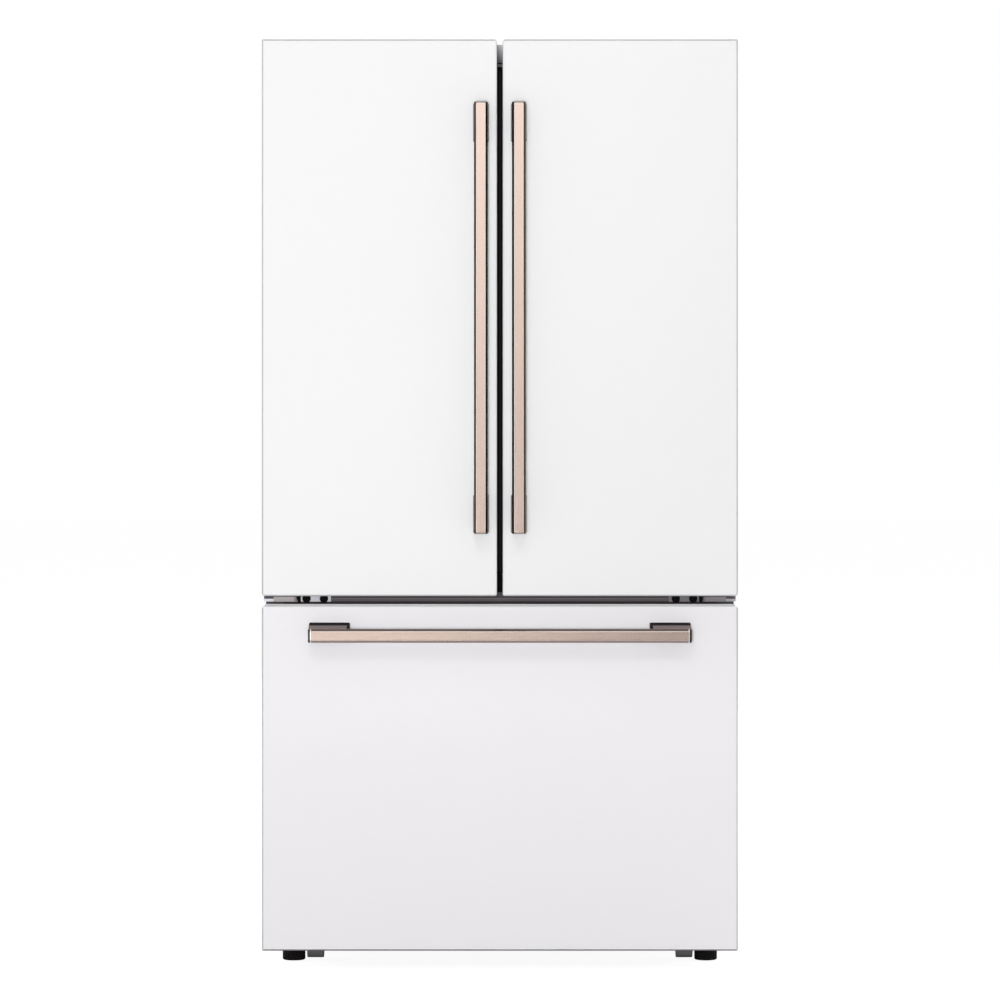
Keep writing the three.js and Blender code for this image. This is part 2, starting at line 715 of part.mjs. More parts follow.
// Vacuum formed liner: a ledge inside the gasket, then the raised rim that carries the bins.
function doorLiner(base, rim, height) {
  const back = panelBack + fit;
  const ledge = panelBack + linerFloor - 2;
  const floor = panelBack + linerFloor;
  const crest = floor + height;
  return loft([
    section('y', back, base, 6),
    section('y', ledge - 1, base, 6),
    section('y', ledge, inset(base, 1), 6),
    section('y', ledge, rim, 10),
    section('y', crest - 3, inset(rim, 1), 10),
    section('y', crest, inset(rim, 4), 8),
    section('y', crest, inset(rim, dykeWidth - 4), 8),
    section('y', crest - 3, inset(rim, dykeWidth - 1), 8),
    section('y', floor, inset(rim, dykeWidth), 8),
  ]);
}

const rimRect = inset(leftDoorRect, caseInset + sideWall + linerWall + dykeGap);
const binSpan = [rimRect[0] + dykeWidth + fit, rimRect[1] - dykeWidth - fit];

function leftDoorLiner() {
  const base = inset(doorGasketRect, gasketWidth + 0.5);
  const liner = doorLiner(base, rimRect, dykeHeight);
  const lugDepth = [panelBack + linerFloor + 12, panelBack + linerFloor + 46];
  const lugs = Object.values(bins).flatMap(({ rise }) => [
    box(binSpan[0] - 3, binSpan[0] + 6, ...lugDepth, doorZ0 + rise - 8, doorZ0 + rise - fit),
    box(binSpan[1] - 6, binSpan[1] + 3, ...lugDepth, doorZ0 + rise - 8, doorZ0 + rise - fit),
  ]);
  return { liner, lugs };
}

function doorBin({ rise, height }) {
  const back = panelBack + linerFloor + fit;
  const bottom = doorZ0 + rise;
  return tub([...binSpan, back, back + binDepth], bottom, bottom + height, binWall, 10);
}

// A handle bar over a rectangle of the front: rounded back, sides that slope in to a narrow bevel,
// and the bright flat front. The slopes take du off each long side or end along u, and dv along v.
function handleBar([u0, u1, v0, v1], du, dv) {
  const shrink = (share, extra) => [
    u0 + share * du + extra, u1 - share * du - extra,
    v0 + share * dv + extra, v1 - share * dv - extra,
  ];
  return loft([
    section('y', barBack, shrink(0, 1.5), 1.5, 2),
    section('y', barBack - 1.5, shrink(0, 0), 2, 2),
    section('y', handleFront + barDepth / 2, shrink(0, 0), 2, 2),
    section('y', handleFront + barBevel, shrink(1, 0), 1.2, 2),
    section('y', handleFront, shrink(1, barBevel), 0.6, 2),
  ]);
}

// A mount: from its foot on the panel to the back of the bar.
function handleMount([x0, x1, z0, z1], [gx0, gx1, gz0, gz1]) {
  const foot = [x0 - gx0, x1 + gx1, z0 - gz0, z1 + gz1];
  return loft([
    section('y', faceY - fit, foot, 2.5, 3),
    section('y', faceY - 6, foot, 2.5, 3),
    section('y', barBack + 9, inset([x0, x1, z0, z1], 0), 2, 3),
    section('y', barBack + fit, [x0, x1, z0, z1], 2, 3),
  ]);
}

function doorHandle() {
  const low = doorHandleBottom;
  const high = low + doorHandleLength;
  const neck = barWidth / 2;
  const rect = [-doorHandleOffset - neck, -doorHandleOffset + neck, low, high];
  const bar = handleBar(rect, (barWidth - barFace) / 2, barEndTaper);
  const flare = (doorMountWidth - barWidth) / 2;
  const mount = (z0, z1) => handleMount(
    [-doorHandleOffset - neck, -doorHandleOffset + neck, z0, z1], [flare, flare, 0, 0],
  );
  return { bar, upper: mount(high - doorMountLength, high), lower: mount(low, low + doorMountLength) };
}

// ---------------------------------------------------------------- folding mullion

const mullionFront = caseFront + fit;
const mullionY = mullionFront + mullionDepth / 2;
const mullionLow = freshZ0 + 6;
const mullionHigh = freshZ1 - mullionTopGap;
const knuckles = [0.13, 0.5, 0.84].map((share) => doorZ0 + share * doorHeight);
const knuckleHeight = 20;
const armHeight = 6;

function mullionBar() {
  const left = -mullionAxisInset + mullionEdge;
  const plan = [left, mullionReach, mullionFront, mullionFront + mullionDepth];
  const corners = [3, 3, mullionFarRadius, 3];
  const bar = loft([
    section('z', mullionLow, plan, corners, 3),
    section('z', mullionHigh, plan, corners, 3),
  ]);
  const ears = knuckles.flatMap((z) => [
    rod('z', 5.5, z + armHeight + fit, z + armHeight + knuckleHeight, 12, -mullionAxisInset, mullionY, 0),
    box(-mullionAxisInset, left + 2, mullionY - 4, mullionY + 4,
      z + armHeight + fit, z + armHeight + knuckleHeight),
  ]);
  const bores = knuckles.map((z) => (
    rod('z', mullionPinRadius + fit, z - 1, z + 2 * knuckleHeight, 12, -mullionAxisInset, mullionY, 0)
  ));
  const guidePin = rod('z', guidePinRadius, mullionHigh - 2, freshZ1 - 3, 12,
    -mullionAxisInset + guidePinOffset, mullionY, 0);
  return cut(join(bar, ...ears, guidePin), ...bores);
}

// Arms on the left door's liner, each with the pin that a knuckle turns on.
function mullionArms() {
  const root = panelBack + linerFloor - 4;
  return knuckles.flatMap((z) => [
    box(-mullionAxisInset - 12, -mullionAxisInset + 4, root, mullionY + 4, z, z + armHeight),
    rod('z', mullionPinRadius, z + 1, z + armHeight + knuckleHeight + 2, 12,
      -mullionAxisInset, mullionY, 0),
  ]);
}

// The guide pin's axis seen from above, for a door swing and a mullion fold in degrees.
function guidePinAt(swing, fold) {
  const foldTurn = THREE.MathUtils.degToRad(fold);
  const swingTurn = THREE.MathUtils.degToRad(-swing);
  const x = pinX - mullionAxisInset + guidePinOffset * Math.cos(foldTurn);
  const y = mullionY - pinY + guidePinOffset * Math.sin(foldTurn);
  return [
    x * Math.cos(swingTurn) - y * Math.sin(swingTurn) - pinX,
    x * Math.sin(swingTurn) + y * Math.cos(swingTurn) + pinY,
  ];
}

// A slot of one width along a path of points.
function slotAlong(path, slotHalf, low, high) {
  const side = (sign) => path.map(([x, y], i) => {
    const [ax, ay] = path[Math.max(i - 1, 0)];
    const [bx, by] = path[Math.min(i + 1, path.length - 1)];
    const run = Math.hypot(bx - ax, by - ay);
    return [x - (sign * slotHalf * (by - ay)) / run, y + (sign * slotHalf * (bx - ax)) / run];
  });
  return prism('z', [...side(1), ...side(-1).reverse()], low, high);
}

// Block under the ceiling. As the door shuts, the guide pin comes in at the block's front, follows
// the cam slot and turns the mullion flat. The two wider slots let the pin by with the mullion
// folded by hand, whether the door moves or stands shut.
function mullionGuide() {
  const slotHalf = guidePinRadius + guideClearance;
  const slotTop = freshZ1 - 2;
  const swings = [0, 1, 2, 3, 4, 5, 6, 7, 8, 9.5, 11];
  const cam = swings.map((swing) => guidePinAt(swing, 90 * Math.min(swing / foldSwing, 1)));
  const foldedBefore = swings.map((swing) => guidePinAt(swing, 90));
  const block = box(-mullionAxisInset - 20, 30, caseFront + 2, mullionY + guidePinOffset + 16,
    mullionHigh + 1.5, freshZ1 - fit);
  const slot = turned('z', [
    [guidePinOffset - slotHalf, mullionHigh - 3], [guidePinOffset + slotHalf, mullionHigh - 3],
    [guidePinOffset + slotHalf, slotTop], [guidePinOffset - slotHalf, slotTop],
    [guidePinOffset - slotHalf, mullionHigh - 3],
  ], 48, -mullionAxisInset, mullionY, 0);
  const entries = [cam, foldedBefore].map((path) => slotAlong(path, slotHalf, mullionHigh - 3, slotTop));
  return cut(block, slot, ...entries);
}

// ---------------------------------------------------------------- fresh food compartment

// Half-width glass shelf in its frame, on two cantilever arms that hook on the back wall.
const shelfArm = { start: 90, nose: 4, drop: 26, hookDrop: 34, inset: 20 };
function leftShelf(top) {
  const x0 = -cavityHalf + 4;
  const x1 = -2;
  const rear = seatY - ductDepth - shelfBackGap;
  const low = top - shelfFrame;
  const rim = loft([
    section('z', low, [x0, x1, shelfFront, rear], 8, 3),
    section('z', top, [x0, x1, shelfFront, rear], 8, 3),
    section('z', top, inset([x0, x1, shelfFront, rear], 12), 4, 3),
    section('z', low, inset([x0, x1, shelfFront, rear], 12), 4, 3),
  ], true);
  const pane = box(x0 + 6, x1 - 6, shelfFront + 6, rear - 6, top - shelfGlass - 2, top - 2);
  const { start, nose, drop, hookDrop, inset: armInset } = shelfArm;
  const arm = (x, reach) => prism('x', [
    [rear - 20, low - drop], [reach, low - hookDrop], [reach, top - 3], [rear - 30, top - 3],
    [shelfFront + start, low + 1], [shelfFront + start, low - nose],
  ], x - 1.5, x + 1.5);
  return join(rim, pane, arm(x0 + armInset, seatY), arm(x1 - armInset, seatY - ductDepth - fit));
}

// Glass cover over the crispers, with a front trim and a centre wall down to the floor.
function crisperCover() {
  const side = cavityHalf - fit;
  const glass = box(-side, side, crisperFront + 4, seatY, coverTop - 8, coverTop - 2);
  const trim = loft([
    section('x', -side, [crisperFront, crisperFront + 12, coverTop - 18, coverTop], 3, 3),
    section('x', side, [crisperFront, crisperFront + 12, coverTop - 18, coverTop], 3, 3),
  ]);
  const wall = box(-3, 3, crisperFront + 6, seatY - 6, freshZ0 + fit, coverTop - 5);
  const rearLedge = box(-side, side, seatY - 10, seatY, coverTop - 22, coverTop - 5);
  return join(glass, trim, wall, rearLedge);
}

// Crisper drawer: a tub with a stepped front and a finger lip along its top.
function leftCrisper() {
  const x0 = -cavityHalf + 7;
  const x1 = -8;
  const body = tub([x0, x1, crisperFront + 6, seatY - 14], freshZ0 + fit, crisperTop, crisperWall, 12);
  const lip = prism('x', [
    [crisperFront + 9, crisperTop - 38], [crisperFront + 4, crisperTop - 34],
    [crisperFront, crisperTop - 6],
    [crisperFront + 2, crisperTop], [crisperFront + 8, crisperTop], [crisperFront + 8, crisperTop - 3],
    [crisperFront + 4, crisperTop - 7], [crisperFront + 8, crisperTop - 30],
  ], x0 + 10, x1 - 10);
  return join(body, lip);
}

// ---------------------------------------------------------------- freezer slides, basket and tray

// The three members of a slide nest in each other: half height and outer face of each.
const raceOne = railMetal + railRace;
const railWall = cavityHalf - fit;
const railSpan = 14;             // how far the fixed member reaches in from the wall
const midHalf = railHeight / 2 - raceOne;
const innerHalf = midHalf - raceOne;
const midWall = railWall - raceOne;
const innerFace = railWall - railSpan - railMetal;
const railFront = caseFront + 9;
const railLength = cavityBack - railBackGap - railFront;
const ledgeIn = basketHalf + 1;

// A C section in (x, z) opening to the middle, on the right-hand side.
const channel = (wallX, reach, halfHeight) => [
  [wallX, railCentre - halfHeight], [wallX, railCentre + halfHeight],
  [wallX - reach, railCentre + halfHeight], [wallX - reach, railCentre + halfHeight - railMetal],
  [wallX - railMetal, railCentre + halfHeight - railMetal],
  [wallX - railMetal, railCentre - halfHeight + railMetal],
  [wallX - reach, railCentre - halfHeight + railMetal], [wallX - reach, railCentre - halfHeight],
];

const slideMember = (outline) => prism('y', outline, railFront, railFront + railLength);
const fixedRail = () => slideMember(channel(railWall, railSpan, railHeight / 2));
const midRail = () => slideMember(channel(midWall, railSpan - raceOne, midHalf));

// Inner members with the ledges that the basket hangs on, tied by a bar behind the basket.
function railFrame() {
  const front = panelBack + linerFloor - 2 + fit;
  const tip = midWall - railMetal - railRace;
  const ledgeTop = basketRimHeight - fit;
  const rear = front + railLength;
  const cross = basketBack + basketRim + 6;
  const member = prism('y', [
    [tip, railCentre + innerHalf], [innerFace, railCentre + innerHalf], [innerFace, ledgeTop],
    [ledgeIn, ledgeTop], [ledgeIn, ledgeTop - 3], [innerFace + railMetal, ledgeTop - 3],
    [innerFace + railMetal, railCentre - innerHalf], [tip, railCentre - innerHalf],
    [tip, railCentre - innerHalf + railMetal], [innerFace + railMetal, railCentre - innerHalf + railMetal],
    [innerFace + railMetal, railCentre + innerHalf - railMetal], [tip, railCentre + innerHalf - railMetal],
  ], front, rear);
  const span = innerFace + railMetal;
  const bar = box(-span, span, cross, cross + 14, ledgeTop - 16, ledgeTop - 2);
  const tab = box(innerFace - 30, innerFace + 1, front, front + 3, ledgeTop - 40, railCentre + innerHalf);
  return join(member, mirrorX(member), bar, tab, mirrorX(tab));
}

const basketFront = caseFront + 41;
const basketBack = stepY - basketBackGap;

// Deep basket with a rolled rim and slots in its long sides.
const basketSlots = { columns: 9, margin: 60, halfLength: 14, height: 6, rises: [60, 90] };
function freezerBasket() {
  const flare = 4;
  const foot = [-basketHalf + flare, basketHalf - flare, basketFront + flare, basketBack - flare];
  const rim = [-basketHalf - basketRim, basketHalf + basketRim, basketFront - 4, basketBack + basketRim];
  const body = tub(foot, basketBottom, basketRimHeight + 2, 3, 18, flare);
  const edge = loft([
    section('z', basketRimHeight, rim, 10, 3),
    section('z', basketRimHeight + 3, rim, 10, 3),
    section('z', basketRimHeight + 3, inset([-basketHalf, basketHalf, basketFront, basketBack], 3), 14, 3),
    section('z', basketRimHeight, inset([-basketHalf, basketHalf, basketFront, basketBack], 3), 14, 3),
  ], true);
  const { columns, margin, halfLength, height, rises } = basketSlots;
  const pitch = (2 * (basketHalf - margin)) / (columns - 1);
  const slots = [];
  for (let i = 0; i < columns; i += 1) {
    const x = -basketHalf + margin + i * pitch;
    for (const rise of rises) {
      const z = basketBottom + rise;
      slots.push(box(x - halfLength, x + halfLength, basketFront - 2, basketBack + 2, z, z + height));
    }
  }
  return cut(join(body, edge), ...slots);
}

function freezerTray() {
  const front = basketFront + 10;
  const foot = [-basketHalf - 2, basketHalf + 2, front, front + trayDepth];
  const low = basketRimHeight + 3 + fit;
  const body = tub(foot, low, low + trayHeight, 2.5, 12, 3);
  const divider = box(-1.5, 1.5, front + 1, front + trayDepth - 1, low + 1, low + trayHeight - 30);
  return join(body, divider);
}

const drawerRect = [-half, half, drawerZ0, drawerZ1];

const drawerGasketRect = [
  -half + gasketInset, half - gasketInset, drawerZ0 + drawerGasketDrop, drawerZ1 - gasketInset,
];

function drawerLiner() {
  const base = inset(drawerGasketRect, gasketWidth + 0.5);
  const rim = [-ledgeIn + 14, ledgeIn - 14, freezerZ0 + 16, freezerZ1 - 22];
  return doorLiner(base, rim, 22);
}

function drawerHandle() {
  const reach = half - drawerHandleInset;
  const z0 = drawerHandleHeight - barWidth / 2;
  const z1 = drawerHandleHeight + barWidth / 2;
  const bar = handleBar([-reach, reach, z0, z1], barEndTaper, (barWidth - barFace) / 2);
  const mount = handleMount([-reach, -reach + drawerMountLength, z0, z1], [0, 0, 0, drawerMountFlare]);
  return { bar, mount };
}

// ---------------------------------------------------------------- feet and rollers

function roller(side, { inset: fromEdge, setback, radius, width, lift }) {
  const chamfer = 1.2;
  const bore = axleRadius + fit;
  const edge = width / 2;
  return turned('x', [
    [bore, -edge], [radius - chamfer, -edge], [radius, -edge + chamfer], [radius, edge - chamfer],
    [radius - chamfer, edge], [bore, edge], [bore, -edge],
  ], 24, side * (half - fromEdge), caseFront + setback, radius + lift);
}

// Levelling foot: a ribbed pad with a rounded bottom edge, on a threaded stud.
function foot(side) {
  const ribs = 18;
  const ring = (z, radius, depth) => {
    const points = [];
    for (let i = 0; i < 2 * ribs; i += 1) {
      const angle = (i / (2 * ribs)) * 2 * Math.PI;
      const r = radius - (i % 2) * depth;
      points.push(new THREE.Vector3(r * Math.cos(angle), r * Math.sin(angle), z));
    }
    return points;
  };
  const pad = loft([
    ring(0, footRadius - 2, 0), ring(0.8, footRadius - 0.6, 0.2), ring(2.4, footRadius, 1),
    ring(footHeight - 2, footRadius, 1), ring(footHeight, footRadius - 2, 0.5),
  ]);
  const stud = rod('z', studRadius, footHeight - 1, caseBottom - fit - pan - 2, 12, 0, 0, 0);
  return join(pad, stud).translate(side * footX, caseFront + footSetback, 0);
}

// ---------------------------------------------------------------- assembly

add('outer_case', 'caseGrey', outerCase());
add('rear_panel', 'galvanised', rearPanel());
add('cabinet_insulation', 'foam', cabinetInsulation());
add('fresh_food_liner', 'linerWhite', freshFoodLiner());
add('freezer_liner', 'linerWhite', freezerLiner());
add('center_rail', 'railBrown', centerRail());
add('base_frame', 'galvanised', baseFrame());
add('compressor', 'compressorBlack', compressor());
add('compressor_cover', 'galvanised', compressorCover());
add('air_duct_cover', 'linerWhite', airDuctCover());
add('mullion_guide', 'black', mullionGuide());
addPair('top_hinge', 'zinc', topHinge());
addPair('hinge_cover', 'caseGrey', hingeCover());
addPair('middle_hinge', 'zinc', middleHinge());
for (const level of Object.keys(shelfRises)) {
  addPair(`${level}_shelf`, 'binClear', leftShelf(coverTop + shelfRises[level]));
}
add('crisper_cover', 'binClear', crisperCover());
addPair('crisper', 'binClear', leftCrisper());

addPair('door_panel', 'whitePanel', leftDoorPanel());
addPair('door_gasket', 'gasketGrey', gasket(doorGasketRect));
const { liner, lugs } = leftDoorLiner();
add('left_door_liner', 'linerWhite', join(liner, ...lugs, ...mullionArms()));
add('right_door_liner', 'linerWhite', mirrorX(join(liner, ...lugs)));
for (const level of Object.keys(bins)) {
  addPair(`${level}_bin`, 'binClear', doorBin(bins[level]));
}
const handle = doorHandle();
addPair('handle_bar', 'copper', handle.bar);
addPair('handle_upper_mount', 'bronze', handle.upper);
addPair('handle_lower_mount', 'bronze', handle.lower);
add('mullion_bar', 'black', mullionBar());

add('drawer_panel', 'whitePanel', skin(drawerRect, [2, 2, 5, 5]));
add('drawer_gasket', 'gasketGrey', gasket(drawerGasketRect));
add('drawer_liner', 'linerWhite', drawerLiner());
const pull = drawerHandle();
add('drawer_handle_bar', 'copper', pull.bar);
add('drawer_handle_left_mount', 'bronze', pull.mount);
add('drawer_handle_right_mount', 'bronze', mirrorX(pull.mount));
add('drawer_rail_frame', 'galvanised', railFrame());
add('right_fixed_rail', 'galvanised', fixedRail());
add('left_fixed_rail', 'galvanised', mirrorX(fixedRail()));
add('right_mid_rail', 'galvanised', midRail());
add('left_mid_rail', 'galvanised', mirrorX(midRail()));
add('freezer_basket', 'binClear', freezerBasket());
add('freezer_tray', 'binClear', freezerTray());

for (const [name, side] of [['left', -1], ['right', 1]]) {
  add(`${name}_foot`, 'black', foot(side));
  add(`${name}_front_roller`, 'wheelGrey', roller(side, frontRoller));
  add(`${name}_rear_roller`, 'wheelGrey', roller(side, rearRoller));
}

export default refrigerator;
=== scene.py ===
# %% [markdown]
# # A french door refrigerator, dressed for its picture
#
# The imported model brings every solid in its real place, so nothing is modelled twice. This script gives
# each solid a material, adds the small parts that the solids leave out and a few blocks of painted light
# and shade, and sets up a pale studio with a camera in front.
#
# All lengths are metres. +Z is up, the doors face -Y, and the floor is z = 0.

# %% Load the imported model
import json
import math

import bmesh
import bpy
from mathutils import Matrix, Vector


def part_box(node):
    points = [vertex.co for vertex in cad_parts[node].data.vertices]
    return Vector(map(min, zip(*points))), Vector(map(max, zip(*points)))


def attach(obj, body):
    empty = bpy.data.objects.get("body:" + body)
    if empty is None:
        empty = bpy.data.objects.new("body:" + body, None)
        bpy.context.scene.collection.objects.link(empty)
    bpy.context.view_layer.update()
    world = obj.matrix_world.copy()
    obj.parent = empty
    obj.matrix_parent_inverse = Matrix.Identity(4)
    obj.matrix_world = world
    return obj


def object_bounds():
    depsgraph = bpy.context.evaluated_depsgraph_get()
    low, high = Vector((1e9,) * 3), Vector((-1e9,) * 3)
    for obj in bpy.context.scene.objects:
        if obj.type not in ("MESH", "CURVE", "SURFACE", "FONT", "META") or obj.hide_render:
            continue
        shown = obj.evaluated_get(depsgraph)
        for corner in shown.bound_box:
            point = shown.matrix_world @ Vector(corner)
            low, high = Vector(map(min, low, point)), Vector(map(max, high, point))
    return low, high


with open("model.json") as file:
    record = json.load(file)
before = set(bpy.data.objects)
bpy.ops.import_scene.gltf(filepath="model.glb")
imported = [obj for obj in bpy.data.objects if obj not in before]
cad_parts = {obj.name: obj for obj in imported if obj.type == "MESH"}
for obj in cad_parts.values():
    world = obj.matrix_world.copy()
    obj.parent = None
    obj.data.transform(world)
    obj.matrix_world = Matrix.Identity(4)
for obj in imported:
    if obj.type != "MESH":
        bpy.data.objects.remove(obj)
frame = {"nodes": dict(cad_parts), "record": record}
cad_low, cad_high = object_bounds()
print("CAD box:", [round(v, 4) for v in cad_low], [round(v, 4) for v in cad_high])

# %% [markdown]
# ## The camera
#
# A refrigerator is a tall box, and its picture should show flat fronts with upright edges. A near
# camera with a wide lens would draw the handles, which stand forward, too large and out of line
# with their panels. So this one stands 8 m away with a long lens, at chest height. Tilting it would
# make the upright edges lean, so it looks straight ahead, and a small vertical shift frames the
# whole height.

# %% Camera
door_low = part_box("left_door_panel")[0]
face_y = door_low.y
distance = 8.0                   # camera to the door faces
picture_width = 1.9078           # across the picture, at the door faces
eye_x = 0.0003
eye_height = 1.083

camera_data = bpy.data.cameras.new("front_camera")
camera_data.sensor_width = 36.0
camera_data.lens = camera_data.sensor_width * distance / picture_width
camera_data.shift_y = -0.100
camera = bpy.data.objects.new("front_camera", camera_data)
camera.location = (eye_x, face_y - distance, eye_height)
camera.rotation_euler = (math.radians(90), 0, 0)
bpy.context.scene.collection.objects.link(camera)
bpy.context.scene.camera = camera
bpy.context.scene.view_settings.view_transform = "Standard"
print("lens", round(camera_data.lens, 1), "mm, camera at", [round(v, 3) for v in camera.location])

# %% [markdown]
# ## Node helpers
#
# A material is a tree of nodes joined by links. Trees can be drawn by hand in the node editor or
# written in Python. Written out in full they get long, so these helpers keep each tree short to
# write and to read.


# %% Colour and node helpers
def linear(red, green, blue):
    """An sRGB colour given in 0-255 as the linear colour that shaders use."""
    def channel(value):
        value /= 255
        return value / 12.92 if value <= 0.04045 else ((value + 0.055) / 1.055) ** 2.4
    return (channel(red), channel(green), channel(blue), 1.0)


def add_node(tree, kind, **settings):
    """A new node. A setting whose name is a socket's fills that socket, any other is a property."""
    node = tree.nodes.new(kind)
    for name, value in settings.items():
        socket = node.inputs.get(name.replace("_", " "))
        if socket is not None:
            socket.default_value = value
        else:
            setattr(node, name, value)
    return node


def combine(tree, operation, first, second, **settings):
    """One number worked out from two sockets. Returns its socket."""
    node = add_node(tree, "ShaderNodeMath", operation=operation, **settings)
    tree.links.new(first, node.inputs[0])
    tree.links.new(second, node.inputs[1])
    return node.outputs[0]


def object_coordinates(tree):
    """The point's place on the piece itself, so that a pattern travels with a moving piece."""
    return tree.nodes.new("ShaderNodeTexCoord").outputs["Object"]


print("middle grey as shaders see it:", round(linear(128, 128, 128)[0], 3))

# %% [markdown]
# ## Shared effects
#
# Several finishes need the same effect: a colour that drifts, fine bumps, a mask. Copying its
# nodes into every material would work, but then a change has to be made many times. So each effect
# is a node group, built once and placed in each material with its own values. A group gives a
# colour, a mask or a normal, and the shader itself stays in the material.


# %% Group helpers
def new_group(name, inputs, outputs):
    """An empty node group with its sockets. Returns the group, its input and its output node."""
    tree = bpy.data.node_groups.new(name, "ShaderNodeTree")
    kinds = {"value": "NodeSocketFloat", "color": "NodeSocketColor", "normal": "NodeSocketVector"}
    for label, kind, default in inputs:
        socket = tree.interface.new_socket(label, in_out="INPUT", socket_type=kinds[kind])
        socket.default_value = default
    for label, kind in outputs:
        tree.interface.new_socket(label, in_out="OUTPUT", socket_type=kinds[kind])
    start = tree.nodes.new("NodeGroupInput")
    end = tree.nodes.new("NodeGroupOutput")
    return tree, start, end


def darken(tree, color, pattern, amount):
    """The colour made darker where the pattern is high, at most by amount."""
    darker = add_node(tree, "ShaderNodeMixRGB", blend_type="MULTIPLY", Color2=(0, 0, 0, 1))
    tree.links.new(combine(tree, "MULTIPLY", pattern, amount), darker.inputs["Fac"])
    tree.links.new(color, darker.inputs["Color1"])
    return darker.outputs[0]


def reach_along(tree, start, place):
    """How far `place` reaches in the direction given by a group's X, Y and Z inputs."""
    way = tree.nodes.new("ShaderNodeCombineXYZ")
    for axis in "XYZ":
        tree.links.new(start.outputs[axis], way.inputs[axis])
    dot = add_node(tree, "ShaderNodeVectorMath", operation="DOT_PRODUCT")
    tree.links.new(place, dot.inputs[0])
    tree.links.new(way.outputs[0], dot.inputs[1])
    return dot.outputs["Value"]


print("group helpers are ready")


# %% [markdown]
# ### Tint drift
#
# No painted or moulded surface has exactly one colour. The drift could be painted by hand on an
# image, but soft noise needs no image and no unwrapping, and it fits every piece.


# %% Effect: tint drift
def make_tint_drift():
    """Varies a colour slightly in large soft patches, as paint and moulded plastic do."""
    tree, start, end = new_group(
        "tint drift",
        [("Color", "color", (1, 1, 1, 1)), ("Amount", "value", 0.02), ("Scale", "value", 3.0)],
        [("Color", "color")],
    )
    noise = add_node(tree, "ShaderNodeTexNoise", Detail=3.0)
    tree.links.new(object_coordinates(tree), noise.inputs["Vector"])
    tree.links.new(start.outputs["Scale"], noise.inputs["Scale"])
    darker = darken(tree, start.outputs["Color"], noise.outputs["Fac"], start.outputs["Amount"])
    tree.links.new(darker, end.inputs["Color"])
    return tree


tint_drift = make_tint_drift()
print("made group:", tint_drift.name)

# %% [markdown]
# ### Fine bumps
#
# Paint has orange peel, and moulded plastic is faintly pebbled. Real bumps in the mesh would need
# millions of faces. A Bump node only tilts the normal, which is enough for bumps this small.


# %% Effect: fine bumps
def make_fine_bumps():
    """Orange peel on paint or pebbling on plastic, from noise at a given scale."""
    tree, start, end = new_group(
        "fine bumps",
        [("Scale", "value", 400.0), ("Strength", "value", 0.1), ("Height", "value", 0.0002)],
        [("Normal", "normal")],
    )
    noise = add_node(tree, "ShaderNodeTexNoise", Detail=2.0, Roughness=0.45)
    tree.links.new(object_coordinates(tree), noise.inputs["Vector"])
    tree.links.new(start.outputs["Scale"], noise.inputs["Scale"])
    bump = tree.nodes.new("ShaderNodeBump")
    tree.links.new(noise.outputs["Fac"], bump.inputs["Height"])
    tree.links.new(start.outputs["Strength"], bump.inputs["Strength"])
    tree.links.new(start.outputs["Height"], bump.inputs["Distance"])
    tree.links.new(bump.outputs["Normal"], end.inputs["Normal"])
    return tree


fine_bumps = make_fine_bumps()
print("made group:", fine_bumps.name)

# %% [markdown]
# ### Brushed grain
#
# Brushed metal has long fine scratches that all run one way. They could be drawn as lines, but
# noise whose space is squeezed hard on two axes and left long on the third gives the same streaks.


# %% Effect: brushed grain
def make_brushed_grain():
    """Long fine scratches along one axis: noise stretched by a different scale on each axis."""
    tree, start, end = new_group(
        "brushed grain",
        [("Color", "color", (1, 1, 1, 1)), ("Scale X", "value", 2000.0), ("Scale Y", "value", 2000.0),
         ("Scale Z", "value", 20.0), ("Contrast", "value", 0.1)],
        [("Color", "color"), ("Normal", "normal")],
    )
    stretch = tree.nodes.new("ShaderNodeCombineXYZ")
    for axis in "XYZ":
        tree.links.new(start.outputs["Scale " + axis], stretch.inputs[axis])
    place = add_node(tree, "ShaderNodeVectorMath", operation="MULTIPLY")
    tree.links.new(object_coordinates(tree), place.inputs[0])
    tree.links.new(stretch.outputs[0], place.inputs[1])
    noise = add_node(tree, "ShaderNodeTexNoise", Scale=1.0, Detail=3.0)
    tree.links.new(place.outputs[0], noise.inputs["Vector"])
    bump = add_node(tree, "ShaderNodeBump", Strength=0.12, Distance=0.00005)
    tree.links.new(noise.outputs["Fac"], bump.inputs["Height"])
    darker = darken(tree, start.outputs["Color"], noise.outputs["Fac"], start.outputs["Contrast"])
    tree.links.new(darker, end.inputs["Color"])
    tree.links.new(bump.outputs["Normal"], end.inputs["Normal"])
    return tree


brushed_grain = make_brushed_grain()
print("made group:", brushed_grain.name)

# %% [markdown]
# ### Facing mask
#
# One material often has to change with the way a surface looks, such as a flat face and the bevel
# round it. Faces could be given different materials one by one. A mask on the normal finds them
# by itself, on every piece that has the material.


# %% Effect: facing mask
def make_facing_mask():
    """1 where the surface faces a given way on the piece itself, 0 elsewhere, with a soft edge."""
    tree, start, end = new_group(
        "facing mask",
        [("X", "value", 0.0), ("Y", "value", -1.0), ("Z", "value", 0.0),
         ("From", "value", 0.85), ("To", "value", 0.97)],
        [("Mask", "value")],
    )
    normal = tree.nodes.new("ShaderNodeTexCoord").outputs["Normal"]
    ramp = add_node(tree, "ShaderNodeMapRange", clamp=True)
    tree.links.new(reach_along(tree, start, normal), ramp.inputs["Value"])
    tree.links.new(start.outputs["From"], ramp.inputs["From Min"])
    tree.links.new(start.outputs["To"], ramp.inputs["From Max"])
    tree.links.new(ramp.outputs["Result"], end.inputs["Mask"])
    return tree


facing_mask = make_facing_mask()
print("made group:", facing_mask.name)

